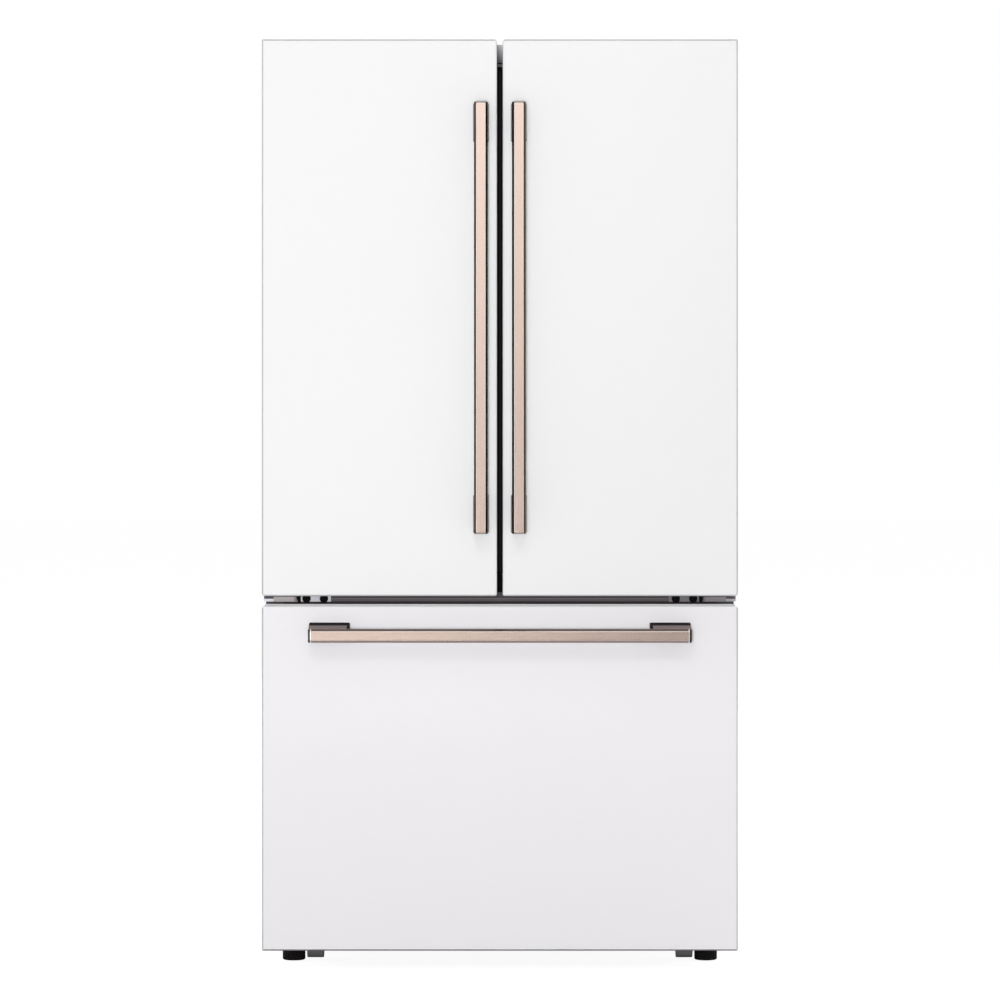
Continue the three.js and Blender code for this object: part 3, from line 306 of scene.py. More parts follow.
# %% [markdown]
# ### Band mask
#
# A tone may also belong to a place, such as the root of a mount or the end of a bar. The mesh
# could be cut there and painted apart, but the solids stay as they are, so a mask picks out the
# band between two positions along one axis.


# %% Effect: band mask
def make_band_mask():
    """1 between two positions along one axis of the piece, 0 elsewhere, with edges Soft wide."""
    tree, start, end = new_group(
        "band mask",
        [("X", "value", 0.0), ("Y", "value", 0.0), ("Z", "value", 1.0),
         ("Low", "value", 0.0), ("High", "value", 1.0), ("Soft", "value", 0.0005)],
        [("Mask", "value")],
    )
    along = reach_along(tree, start, object_coordinates(tree))
    above_low = combine(tree, "SUBTRACT", along, start.outputs["Low"])
    below_high = combine(tree, "SUBTRACT", start.outputs["High"], along)
    soft = start.outputs["Soft"]
    edges = [combine(tree, "DIVIDE", gap, soft, use_clamp=True) for gap in (above_low, below_high)]
    tree.links.new(combine(tree, "MULTIPLY", *edges), end.inputs["Mask"])
    return tree


band_mask = make_band_mask()
print("made group:", band_mask.name)

# %% [markdown]
# ### Cells
#
# Zinc crystals on galvanised steel and the pores of foam are both patches with sharp borders.
# Noise is too soft for that. A Voronoi pattern gives each cell its own tone, and its distance
# gives the pores some depth.


# %% Effect: cells
def make_cells():
    """Random flat cells: zinc spangle when large and faint, foam when small and deep."""
    tree, start, end = new_group(
        "cells",
        [("Color", "color", (1, 1, 1, 1)), ("Scale", "value", 80.0), ("Contrast", "value", 0.2),
         ("Depth", "value", 0.0)],
        [("Color", "color"), ("Normal", "normal")],
    )
    voronoi = tree.nodes.new("ShaderNodeTexVoronoi")
    tree.links.new(object_coordinates(tree), voronoi.inputs["Vector"])
    tree.links.new(start.outputs["Scale"], voronoi.inputs["Scale"])
    grey = tree.nodes.new("ShaderNodeRGBToBW")
    tree.links.new(voronoi.outputs["Color"], grey.inputs[0])
    bump = add_node(tree, "ShaderNodeBump", Strength=1.0)
    tree.links.new(voronoi.outputs["Distance"], bump.inputs["Height"])
    tree.links.new(start.outputs["Depth"], bump.inputs["Distance"])
    darker = darken(tree, start.outputs["Color"], grey.outputs[0], start.outputs["Contrast"])
    tree.links.new(darker, end.inputs["Color"])
    tree.links.new(bump.outputs["Normal"], end.inputs["Normal"])
    return tree


cells = make_cells()
print("made group:", cells.name)

# %% [markdown]
# ## Materials
#
# Each finish is one Principled shader whose colour, and sometimes its metal, roughness or
# transmission, comes from the effects. `surface` makes the material, `use` adds an effect to it,
# `facing` and `band` add a mask, and `blend_colors` paints one colour over another by a mask.

# %% Material helpers
materials = {}
far = 9.0                        # beyond every piece, for a band that is open at one end


def surface(name, color, roughness, **settings):
    """A material with one Principled shader, kept under its name."""
    made = bpy.data.materials.new(name)
    made.use_nodes = True
    shader = shader_of(made)
    shader.inputs["Base Color"].default_value = color
    shader.inputs["Roughness"].default_value = roughness
    for label, value in settings.items():
        shader.inputs[label.replace("_", " ")].default_value = value
    materials[name] = made
    return made


def shader_of(made):
    """The material's Principled shader."""
    return made.node_tree.nodes["Principled BSDF"]


def feed(made, label, output):
    """Joins an output to one socket of the material's shader."""
    made.node_tree.links.new(output, shader_of(made).inputs[label])


def use(made, group, outputs=None, **inputs):
    """Adds an effect to a material. outputs maps an effect's output to a socket of the shader."""
    node = made.node_tree.nodes.new("ShaderNodeGroup")
    node.node_tree = group
    for label, value in inputs.items():
        node.inputs[label.replace("_", " ")].default_value = value
    for label, socket in (outputs or {}).items():
        feed(made, socket, node.outputs[label])
    return node


def facing(made, **inputs):
    """A mask of the surface that looks a given way, to the front when none is given."""
    return use(made, facing_mask, **inputs).outputs["Mask"]


def band(made, **inputs):
    """A mask of the surface between two positions, heights when no axis is given."""
    return use(made, band_mask, **inputs).outputs["Mask"]


print("a band open at one end reaches", far, "m")


# %% [markdown]
# A mask is only a number from 0 to 1 at each point. These helpers turn it into a colour or a value.
# The finishes that are one moulded colour repeat the same two effects, so they share a helper too.

# %% Mask helpers
def blend_colors(made, mask, below, above):
    """A colour that is `above` where the mask is 1 and `below` where it is 0. Either may be a socket."""
    tree = made.node_tree
    mix = tree.nodes.new("ShaderNodeMixRGB")
    tree.links.new(mask, mix.inputs["Fac"])
    for label, given in (("Color1", below), ("Color2", above)):
        if isinstance(given, bpy.types.NodeSocket):
            tree.links.new(given, mix.inputs[label])
        else:
            mix.inputs[label].default_value = given
    return mix.outputs[0]


def blend_values(made, mask, below, above):
    """A number that is `above` where the mask is 1 and `below` where it is 0."""
    ramp = add_node(made.node_tree, "ShaderNodeMapRange", To_Min=below, To_Max=above)
    made.node_tree.links.new(mask, ramp.inputs["Value"])
    return ramp.outputs["Result"]


def moulded(name, color, roughness, drift, bumps, **settings):
    """A finish with drift (amount, scale) in its colour and bumps (scale, strength, height)."""
    made = surface(name, color, roughness, **settings)
    use(made, tint_drift, {"Color": "Base Color"}, Color=color, Amount=drift[0], Scale=drift[1])
    use(made, fine_bumps, {"Normal": "Normal"}, Scale=bumps[0], Strength=bumps[1], Height=bumps[2])
    return made


print("blend helpers and the moulded finish are ready")

# %% [markdown]
# ### White painted steel
#
# The doors and the drawer front are steel sheet in gloss white, with a trace of orange peel. The
# drawer front is a shade darker than the doors. A clear coat over the paint gives the gloss, which
# a low roughness alone would make too mirror-like.

# %% Door and drawer fronts: paint
door_white = linear(243, 243, 244)
drawer_white = linear(241, 239, 242)
drawer_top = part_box("drawer_panel")[1].z

made = surface("white_panel", door_white, 0.30, Coat_Weight=0.5, Coat_Roughness=0.10)
low_half = band(made, Low=-far, High=door_low.z - 0.008, Soft=0.001)
fronts = blend_colors(made, low_half, door_white, drawer_white)
drift = use(made, tint_drift, Amount=0.012, Scale=1.7)
made.node_tree.links.new(fronts, drift.inputs["Color"])
use(made, fine_bumps, {"Normal": "Normal"}, Scale=420.0, Strength=0.035, Height=0.00025)
print("white of the doors", [round(c, 3) for c in door_white[:3]])

# %% [markdown]
# The rolled edges turn away from the light and draw a thin grey outline round each panel. They are only 3
# mm round, too small for the lamps alone to show, so a facing mask paints that shade on them. A painted
# highlight keeps them bright where two panels meet, the flat sides stay white, and painted shade makes the
# faces that look down greyer.

# %% Door and drawer fronts: rolled edges
side_white = linear(226, 226, 228)
# painted shade on the rolled edges and the lower faces, painted highlight where panels meet and over the
# drawer
edge_shade_grey = linear(88, 88, 91)
edge_highlight = linear(232, 232, 234)
under_shade_grey = linear(190, 189, 192)
under_shade_dark = linear(84, 83, 86)
edge_width = 0.004
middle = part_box("right_door_panel")[0].x + edge_width

by_middle = band(made, X=1.0, Z=0.0, Low=-middle, High=middle, Soft=0.001)
by_drawer = band(made, Low=drawer_top - edge_width, High=door_low.z + edge_width, Soft=0.001)
edge = blend_colors(made, by_middle, edge_shade_grey, edge_highlight)
edge = blend_colors(made, by_drawer, edge, edge_highlight)
around = blend_colors(made, facing(made, From=0.14, To=0.03), edge, side_white)
edged = blend_colors(made, facing(made, From=0.87, To=0.94), around, drift.outputs["Color"])
under = blend_colors(made, low_half, under_shade_grey, under_shade_dark)
below = facing(made, Y=0.0, Z=-1.0, From=0.25, To=0.45)
feed(made, "Base Color", blend_colors(made, below, edged, under))
print("bright edges within", round(middle, 4), "m of the middle")

# %% [markdown]
# ### Case: grey textured paint
#
# The case behind the doors is steel in matt grey with a leathery texture, which hides fingerprints.
# Its front flange shows in the gap between the doors. Little light reaches the deep part of that gap, so
# painted shade takes the flange from light at the top to dark below, over a few centimetres.
# The flange could have a material of its own, but it is part of one solid, so a band picks it out.

# %% Case
case_grey = linear(128, 129, 131)
# flange_grey fading to flange_shade down the flange is painted shade for the deep gap
flange_grey = linear(198, 198, 200)
flange_shade = linear(84, 84, 86)
flange_depth = 0.0011            # how far back the flange's paint reaches
fade = 0.036                     # height over which it brightens
case_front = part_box("outer_case")[0].y
cavity_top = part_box("fresh_food_liner")[1].z

made = surface("case_grey", case_grey, 0.48)
drift = use(made, tint_drift, Color=case_grey, Amount=0.05, Scale=2.3)
flange = band(made, Y=1.0, Z=0.0, Low=case_front - 0.01, High=case_front + flange_depth, Soft=0.0003)
rise = band(made, Low=cavity_top - 0.004, High=far, Soft=fade)
paint = blend_colors(made, rise, flange_shade, flange_grey)
feed(made, "Base Color", blend_colors(made, flange, drift.outputs["Color"], paint))
use(made, fine_bumps, {"Normal": "Normal"}, Scale=650.0, Strength=0.35, Height=0.0004)
print("case colour", [round(c, 3) for c in case_grey[:3]])

# %% [markdown]
# ### Liners and covers
#
# The inside is vacuum-formed white plastic, smooth and glossy with a faint waviness from the mould.
# The waviness could be modelled, but wide, shallow bumps in the shading show it as well.

# %% Liners and covers: gloss white plastic
made = moulded("liner_white", linear(240, 242, 243), 0.28, drift=(0.03, 4.0), bumps=(180.0, 0.05, 0.0003))
print("liner roughness", shader_of(made).inputs["Roughness"].default_value)

# %% [markdown]
# ### Clear plastic
#
# The bins, the crispers and the freezer's basket and tray are clear plastic. Mixing a Transparent
# shader with a glossy one would be quick, but it doesn't bend light. Transmission on the Principled
# shader does, and a little of the base colour is kept so that the walls can be seen.

# %% Clear plastic
made = surface("clear_plastic", linear(234, 239, 241), 0.08, Transmission_Weight=0.85, IOR=1.49)
use(made, fine_bumps, {"Normal": "Normal"}, Scale=60.0, Strength=0.05, Height=0.0004)
print("clear plastic bends light by", shader_of(made).inputs["IOR"].default_value)

# %% [markdown]
# ### Shelf glass and its frame
#
# A shelf is a pane of tempered glass in a moulded white frame, and so is the cover over the
# crispers. Each is one solid here, so a mask built from three bands finds the pane. Inside it the
# material is clear and smooth, and outside it the material is white and solid.

# %% Shelf glass and its frame
shelf_low, shelf_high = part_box("left_upper_shelf")
inner, outer = sorted(abs(x) for x in (shelf_low.x, shelf_high.x))
frame_width = 0.012
pane_back = cad_high.y - 0.10
pane_green = linear(224, 240, 236)
frame_white = linear(236, 238, 239)

made = surface("shelf_glass", pane_green, 0.03, IOR=1.5)
drift = use(made, tint_drift, Color=pane_green, Amount=0.04, Scale=8.0)
across = [band(made, X=side, Z=0.0, Low=inner + frame_width, High=outer - frame_width, Soft=0.0004)
          for side in (-1.0, 1.0)]
deep = band(made, Y=1.0, Z=0.0, Low=shelf_low.y + frame_width, High=pane_back, Soft=0.0004)
pane = combine(made.node_tree, "MULTIPLY", combine(made.node_tree, "MAXIMUM", *across), deep)
feed(made, "Base Color", blend_colors(made, pane, frame_white, drift.outputs["Color"]))
feed(made, "Transmission Weight", blend_values(made, pane, 0.0, 0.92))
feed(made, "Roughness", blend_values(made, pane, 0.35, 0.03))
print("pane from", round(inner + frame_width, 3), "to", round(outer - frame_width, 3), "m from the middle")

# %% [markdown]
# ### Copper handles
#
# Each handle is a brushed copper face inside a bright narrow bevel, with slopes beside it. Each
# part could have its own material, but all the tones can be picked out by the way the surface looks
# and the place where it lies, so one material fits all three bars. The brushing runs along each
# bar: up the door bars and across the drawer bar.

# %% Handle bars: brushed faces
copper = linear(206, 185, 174)
grain_contrast = 0.11

made = surface("copper_satin", copper, 0.24, Specular_IOR_Level=0.05)
on_doors = band(made, Low=door_low.z, High=far, Soft=0.001)
grains = [use(made, brushed_grain, Color=copper, Scale_X=x, Scale_Y=900.0, Scale_Z=z,
              Contrast=grain_contrast).outputs["Color"]
          for x, z in ((5.0, 1100.0), (1100.0, 5.0))]
face = blend_colors(made, on_doors, *grains)
print("brushed faces: level on the drawer, upright on the doors")

# %% [markdown]
# The slopes carry painted reflection and shade in place of what the metal would mirror there: on the door
# bars black towards the other door and bronze on the far side, on the drawer bar dusky above and rosy
# below. The sideways slopes must not mirror the white room, so they count as paint and not as metal.

# %% Handle bars: slopes
# painted shade and painted reflection for the slopes
slope_shade_black = linear(22, 13, 10)
slope_sheen_bronze = linear(80, 64, 55)
slope_sheen_rose = linear(156, 139, 132)
slope_shade_dusk = linear(108, 95, 90)
bar_side = -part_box("left_handle_bar")[0].x

slopes = slope_shade_black
sideways = []
for side in (-1.0, 1.0):
    far_side = band(made, X=side, Z=0.0, Low=bar_side - 0.006, High=bar_side + 0.01, Soft=0.0005)
    slopes = blend_colors(made, far_side, slopes, slope_sheen_bronze)
    sideways.append(facing(made, X=side, Y=0.0, From=0.45, To=0.60))
for way, tone in ((1.0, slope_shade_dusk), (-1.0, slope_sheen_rose)):
    level_slope = facing(made, Y=0.0, Z=way, From=0.45, To=0.60)
    slopes = blend_colors(made, level_slope, slopes, tone)
slanted = combine(made.node_tree, "ADD", *sideways, use_clamp=True)
feed(made, "Metallic", blend_values(made, slanted, 1.0, 0.0))
print("door bars end", round(bar_side, 4), "m from the middle")

# %% [markdown]
# A painted highlight runs along the narrow bevel all round the face, for the light it catches. At the
# drawer bar's two ends the painted highlight and the painted shade of the slope are so small that bands
# paint them, which keeps them crisp.

# %% Handle bars: bevels and ends
# painted highlight on the bevel; the bar ends get it and the slope's painted shade
bevel_highlight = linear(252, 239, 228)
end_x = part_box("drawer_handle_bar")[1].x
end_highlight_and_shade = ((bevel_highlight, 0.0062), (slope_shade_black, 0.0042))    # tone, and how far in it reaches

rim = blend_colors(made, facing(made, From=0.58, To=0.68), slopes, bevel_highlight)
color = blend_colors(made, facing(made, From=0.90, To=0.97), rim, face)
for side in (-1.0, 1.0):
    for tone, width in end_highlight_and_shade:
        end = band(made, X=side, Z=0.0, Low=end_x - width, High=end_x + 0.01, Soft=0.0002)
        color = blend_colors(made, end, color, tone)
feed(made, "Base Color", color)
print("drawer bar ends at", round(end_x, 4))

# %% [markdown]
# ### Handle mounts
#
# Each bar stands on dark bronze blocks. Painted shade darkens them to black at the root, where they meet
# the panel and little light arrives. The drawer's mounts also get black painted shade on their top and on
# their ends. An image could hold such shading, but these are all bands along an axis, and the strongest one
# decides.

# %% Handle mounts: bronze that darkens towards the panel
mauve = linear(128, 108, 106)
# shade is painted shade: black at the roots and on the drawer mounts' top and ends
shade = linear(14, 8, 8)
root_depth = 0.020
shade_cap_height = 0.0052
mount_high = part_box("drawer_handle_left_mount")[1]
mount_end = -mount_high.x

made = surface("bronze_dark", mauve, 0.35, Specular_IOR_Level=0.01)
tree = made.node_tree
drift = use(made, tint_drift, Color=mauve, Amount=0.15, Scale=60.0)
under_doors = band(made, Low=-far, High=door_low.z, Soft=0.001)
dark = band(made, Y=1.0, Z=0.0, Low=face_y - root_depth, High=face_y + 0.01, Soft=0.006)
regions = [band(made, Low=mount_high.z - shade_cap_height, High=door_low.z, Soft=0.0012)]
regions += [band(made, X=side, Z=0.0, Low=mount_end - 0.004, High=mount_end + 0.006, Soft=0.0012)
            for side in (-1.0, 1.0)]
for region in regions:
    on_drawer = combine(tree, "MULTIPLY", region, under_doors)
    dark = combine(tree, "MAXIMUM", dark, on_drawer)
feed(made, "Base Color", blend_colors(made, dark, drift.outputs["Color"], shade))
feed(made, "Metallic", blend_values(made, dark, 0.85, 0.0))
use(made, fine_bumps, {"Normal": "Normal"}, Scale=1500.0, Strength=0.08, Height=0.0001)
print("mounts darken over the last", root_depth, "m")

# %% [markdown]
# ### Hinges
#
# The hinges are zinc plated steel. The plate behind is bright, its near-white tone partly zinc and partly
# painted reflection, and the arm that reaches forward is greyer. The eye round the pin has painted shade
# above and a painted highlight at its foot. The right-hand hinges take duller tones, painted shade for the
# weaker light they stand in.

# %% Hinges: tones
# zinc is partly painted reflection; the dull right-hand tones, the eye's bright foot and its shade are
# painted light and shade
zinc = linear(248, 246, 255)
zinc_shaded = linear(140, 136, 141)
arm_grey = linear(178, 171, 171)
arm_shaded = linear(136, 131, 134)
eye_highlight = {-1.0: linear(226, 224, 234), 1.0: linear(168, 166, 170)}
eye_shade = linear(76, 72, 76)
eye_width = 0.0195
eye_drop = 0.0325                # from the hinge's top down to the eye's brighter foot
plate_depth = 0.004
plate_low, plate_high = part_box("left_middle_hinge")
print("hinge from y", round(plate_low.y, 4), "to", round(plate_high.y, 4))

# %% [markdown]
# The arm and the eye could be cut off and painted apart. Their positions alone tell them from the
# plate, so bands do it, and the solid stays in one piece.

# %% Hinges: material
made = surface("zinc_plate", zinc, 0.32, Metallic=0.1)
grain = use(made, brushed_grain, {"Normal": "Normal"}, Color=zinc,
            Scale_X=60.0, Scale_Y=1200.0, Scale_Z=1200.0, Contrast=0.22)
shaded_right_half = band(made, X=1.0, Z=0.0, Low=0.0, High=1.0, Soft=0.001)
plate = blend_colors(made, shaded_right_half, grain.outputs["Color"], zinc_shaded)
arm_tone = blend_colors(made, shaded_right_half, arm_grey, arm_shaded)
for side in (-1.0, 1.0):
    eye = band(made, X=side, Z=0.0, Low=-plate_low.x - eye_width, High=far, Soft=0.0006)
    upper = band(made, Low=plate_high.z - eye_drop, High=far, Soft=0.0008)
    eye_tone = blend_colors(made, upper, eye_highlight[side], eye_shade)
    arm_tone = blend_colors(made, eye, arm_tone, eye_tone)
arm = band(made, Y=1.0, Z=0.0, Low=plate_low.y - 0.01, High=plate_high.y - plate_depth, Soft=0.0004)
feed(made, "Base Color", blend_colors(made, arm, plate, arm_tone))
print("hinges: plate, arm and eye tones in", made.name)

# %% [markdown]
# ### Galvanised steel
#
# The base frame, the back panel, the compressor's cover and the drawer's slides are galvanised
# sheet, whose zinc shows faint grey crystals. Noise would blur them together, so the cells effect
# draws them, and shallow bumps keep the sheet from looking ground flat.

# %% Galvanised steel
galvanised = linear(176, 180, 184)
crystals = 70.0                  # across one metre
made = surface("galvanised", galvanised, 0.38, Metallic=0.55)
use(made, cells, {"Color": "Base Color"}, Color=galvanised, Scale=crystals, Contrast=0.22)
use(made, fine_bumps, {"Normal": "Normal"}, Scale=90.0, Strength=0.1, Height=0.0002)
print("crystals across one metre of sheet:", crystals)

# %% [markdown]
# ### Crossbar
#
# Between the doors and the drawer a brown painted steel crossbar shows. Down its front follow a thin bright
# line of painted highlight, then a darker step and a dark lower face of painted shade. Real folds could be
# modelled there, but they are so shallow that bands of painted light and shade show them as well.

# %% Crossbar
rail_brown = linear(84, 78, 81)
# painted highlight and painted shade down the crossbar's front
rail_light_and_shade = (
    # painted tone, and how far below the doors its lower and upper edges lie
    (linear(62, 55, 59), 0.0487, 0.0145),
    (linear(104, 98, 101), 0.0145, 0.0107),
    (linear(132, 124, 127), 0.0107, 0.0087),
)

made = surface("rail_brown", rail_brown, 0.40)
color = use(made, tint_drift, Color=rail_brown, Amount=0.08, Scale=12.0).outputs["Color"]
for tone, lower, upper in rail_light_and_shade:
    strip = band(made, Low=door_low.z - lower, High=door_low.z - upper, Soft=0.0004)
    color = blend_colors(made, strip, color, tone)
feed(made, "Base Color", color)
use(made, fine_bumps, {"Normal": "Normal"}, Scale=700.0, Strength=0.15, Height=0.0002)
print("crossbar bands:", len(rail_light_and_shade))

# %% [markdown]
# ### Plain plastics, rubber and enamel
#
# The mullion and the feet are black plastic, the rollers grey nylon, the gaskets soft grey rubber,
# and the compressor is enamelled black. Each is one colour with a little drift and its own bumps,
# so one helper makes them all and only the values differ. The black plastic gets almost no specular
# reflection, because the white room would turn it grey.

# %% Plain plastics, rubber and enamel
moulded("black_plastic", linear(27, 25, 26), 0.42, drift=(0.25, 30.0), bumps=(900.0, 0.25, 0.0002),
        Specular_IOR_Level=0.03)
moulded("wheel_grey", linear(112, 113, 115), 0.55, drift=(0.2, 40.0), bumps=(600.0, 0.3, 0.0003))
moulded("gasket_grey", linear(150, 151, 153), 0.62, drift=(0.12, 15.0), bumps=(1200.0, 0.2, 0.0002))
moulded("compressor_black", linear(28, 28, 30), 0.25, drift=(0.3, 14.0), bumps=(250.0, 0.12, 0.0003),
        Coat_Weight=0.5, Coat_Roughness=0.1)
print("plain finishes: black_plastic, wheel_grey, gasket_grey, compressor_black")

# %% [markdown]
# ### Foam
#
# Polyurethane foam fills the space between the case and the liners. It is pale yellow and full of
# small pores. Soft noise would hide them, so the cells of the zinc are used again, much smaller and
# with depth.

# %% Foam
foam = linear(232, 219, 172)
made = surface("foam", foam, 0.9)
use(made, cells, {"Color": "Base Color", "Normal": "Normal"}, Color=foam, Scale=500.0,
    Contrast=0.2, Depth=0.0006)
print("materials made:", sorted(materials))

# %% [markdown]
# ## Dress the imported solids
#
# The record says which slot each solid has, such as white_panel or zinc_plate. The solids could be
# dressed one by one by name, but then a new solid could be forgotten. Going through the record
# gives every solid its slot's material.

# %% Assign materials
for row in frame["record"]["subparts"]:
    node = frame["nodes"][row["node"]]
    node.data.materials.clear()
    node.data.materials.append(materials[row["material_slot"]])

# %% [markdown]
# ## Small pieces
#
# Screws, pads and trims that the solids leave out, and a few blocks that stand for painted light and shade.
# Each is built as a small mesh with bmesh, which needs no modifiers and leaves clean faces, and rides on
# the body that carries it, so it follows when that body moves.


# %% Piece helpers
def piece(name, build, body, slot, finish=None):
    """A new object whose mesh is made by build(bmesh), carried by body, in its slot's own finish or
    in another one that is named."""
    shape = bmesh.new()
    build(shape)
    bmesh.ops.recalc_face_normals(shape, faces=shape.faces)
    mesh = bpy.data.meshes.new(name)
    shape.to_mesh(mesh)
    shape.free()
    mesh.materials.append(materials[finish or slot])
    made = bpy.data.objects.new(name, mesh)
    bpy.context.scene.collection.objects.link(made)
    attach(made, body)
    return made


def rounded_block(low, high, radius):
    """A builder of a box with bevelled edges, for piece()."""
    def build(shape):
        made = bmesh.ops.create_cube(shape, size=1.0)
        for vert in made["verts"]:
            vert.co = Vector([(a + b) / 2 + c * (b - a) for a, b, c in zip(low, high, vert.co)])
        bmesh.ops.bevel(shape, geom=list(shape.edges), offset=radius, segments=3, profile=0.5,
                        affect="EDGES")
    return build


print("piece helpers ready")


# %% [markdown]
# Round parts such as screws could come from a cylinder that is then edited. Turning an outline
# round an axis, as a lathe does, gives the dome and the socket in one go.

# %% Screw helpers
def revolve(shape, profile, center, axis, steps=32):
    """Turns a profile of (radius, height) points round an axis that starts at center."""
    turn = Vector((0, 0, 1)).rotation_difference(Vector(axis)).to_matrix()
    rings = []
    for radius, height in profile:
        ring = []
        for i in range(steps if radius > 0 else 1):
            angle = 2 * math.pi * i / steps
            spot = Vector((radius * math.cos(angle), radius * math.sin(angle), height))
            ring.append(shape.verts.new(Vector(center) + turn @ spot))
        rings.append(ring)
    for lower, upper in zip(rings, rings[1:]):
        for i in range(steps):
            j = (i + 1) % steps
            corners = [lower[i % len(lower)], lower[j % len(lower)],
                       upper[j % len(upper)], upper[i % len(upper)]]
            shape.faces.new(list(dict.fromkeys(corners)))


def pan_head(radius, height, socket):
    """Profile of a domed screw head with a round socket in its top, from the foot up."""
    return [(0, 0), (radius, 0), (radius, height * 0.35), (radius * 0.93, height * 0.7),
            (radius * 0.72, height * 0.93), (socket * 1.25, height), (socket, height * 0.96),
            (socket * 0.9, height * 0.35), (0, height * 0.3)]


screw_head = pan_head(0.0081, 0.0042, 0.0026)
print("screw head radius", max(radius for radius, height in screw_head))

# %% [markdown]
# ### Screws and shade blocks of the middle hinges
#
# Two black pan head screws hold each middle hinge to the crossbar. Beside them a black block stands for the
# shade behind the hinge's arm: painted shade. A screw head is round, so its profile is turned about its
# axis. A cylinder with a bevel would lack the dome and the socket.

# %% Middle hinges: screws and shade blocks
plate_thickness = 0.003
plate_front = plate_high.y - plate_thickness
screw_z = (door_low.z + drawer_top) / 2
screw_places = (("outer", -0.3734), ("inner", -0.3399))        # on the left, from the middle
# a black block for the shade behind each hinge's arm: painted shade
shade_block_places = (-0.3892, -0.3845)
shade_block_reach = 0.026
shade_block_half = 0.0062               # half its height

for side, name in ((1, "left"), (-1, "right")):
    for place, x in screw_places:
        center = (side * x, plate_front, screw_z)
        piece(f"{name}_hinge_{place}_screw",
              lambda shape: revolve(shape, screw_head, center, (0, -1, 0)),
              "cabinet", "black_plastic")
    near, off = sorted(side * x for x in shade_block_places)
    piece(f"{name}_hinge_stop",
          rounded_block((near, plate_front - shade_block_reach, screw_z - shade_block_half),
                        (off, plate_front - 0.0005, screw_z + shade_block_half), 0.0008),
          "cabinet", "black_plastic")
print("plate front at y", round(plate_front, 4), "screws at z", round(screw_z, 4))

# %% [markdown]
# ### Mullion trim
#
# A soft dark strip runs down the middle of the folding mullion, between the doors' two gaskets. It
# could be a band in the mullion's material, but it stands out a little, so it is a thin block.

# %% Mullion trim
trim_black = linear(42, 38, 40)
trim_half = 0.0020               # half its width
bar_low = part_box("mullion_bar")[0]
guide_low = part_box("mullion_guide")[0]
trim_low = bar_low.z + 0.004

made = surface("trim_black", trim_black, 0.5, Specular_IOR_Level=0.03)
use(made, tint_drift, {"Color": "Base Color"}, Color=trim_black, Amount=0.1, Scale=20.0)
piece("mullion_trim",
      rounded_block((-trim_half, bar_low.y - 0.0011, trim_low),
                    (trim_half, bar_low.y - 0.0002, guide_low.z - 0.006), 0.0003),
      "mullion", "black_plastic", "trim_black")
print("trim down to z", round(trim_low, 3))

# %% [markdown]
# ### Pads, shade line and catch at the middle
#
# Above and below the mullion the case would show bare between the doors. Real ones have a moulded pad there
# and a small catch on the crossbar. A thin black strip across the upper pad stands for the dark line at the
# lower edge of the case's flange: painted shade. They are plain blocks of different heights, so a table
# gives their sizes and one loop makes them.

# %% Pads, shade line and catch
pad_front = case_front - 0.0016
pad_back = case_front - 0.0003
centre_pads = (
    # name, half its width, front, bottom, top, slot
    ("upper_centre_pad", 0.0088, pad_front, guide_low.z + 0.0035, cavity_top + 0.0003, "wheel_grey"),
    # a black strip for the dark line under the case's flange: painted shade
    ("upper_centre_shade_line", 0.0086, pad_front - 0.0007, guide_low.z + 0.0089, guide_low.z + 0.0113,
     "black_plastic"),
    ("lower_centre_pad", 0.0088, pad_front, door_low.z + 0.0026, bar_low.z - 0.0004, "black_plastic"),
    ("rail_catch", 0.0072, pad_front - 0.002, door_low.z - 0.0075, door_low.z + 0.0030, "rail_brown"),
)
for name, half, front, bottom, top, slot in centre_pads:
    piece(name, rounded_block((-half, front, bottom), (half, pad_back, top), 0.0005), "cabinet", slot)
print("pads at y", round(pad_front, 4))

# %% [markdown]
# ### Drawer top strip
#
# A pale grey strip lies on top of the drawer front behind its rolled edge, and shows as a pale line in the
# gap. It is painted light: it stands for the light on the drawer's top face, which the lamps barely reach
# there. It could be a band on the panel, but it lies on top of it, so it is a thin block that stops short
# of the panel's ends.

# %% Drawer top strip
strip_inset = 0.006                # from each end of the drawer front
strip_front = face_y + 0.004
strip_back = face_y + 0.016
drawer_low, drawer_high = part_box("drawer_panel")

# a pale strip that stands for light on the drawer's top face: painted light
moulded("top_strip_light_grey", linear(206, 204, 206), 0.45, drift=(0.06, 9.0), bumps=(600.0, 0.12, 0.0002))
piece("drawer_top_light_strip",
      rounded_block((drawer_low.x + strip_inset, strip_front, drawer_high.z + 0.0002),
                    (drawer_high.x - strip_inset, strip_back, drawer_high.z + 0.0034), 0.0006),
      "freezer_drawer", "gasket_grey", "top_strip_light_grey")
print("cap on the drawer at z", round(drawer_high.z, 4))

# %% [markdown]
# ## Studio
#
# The room is white all round. A strong white world would do that, but it would also light the
# object from every side and wash out its forms. So only camera, glossy and transmission rays see
# plain white, and the light that falls on the object is a weak share of it.

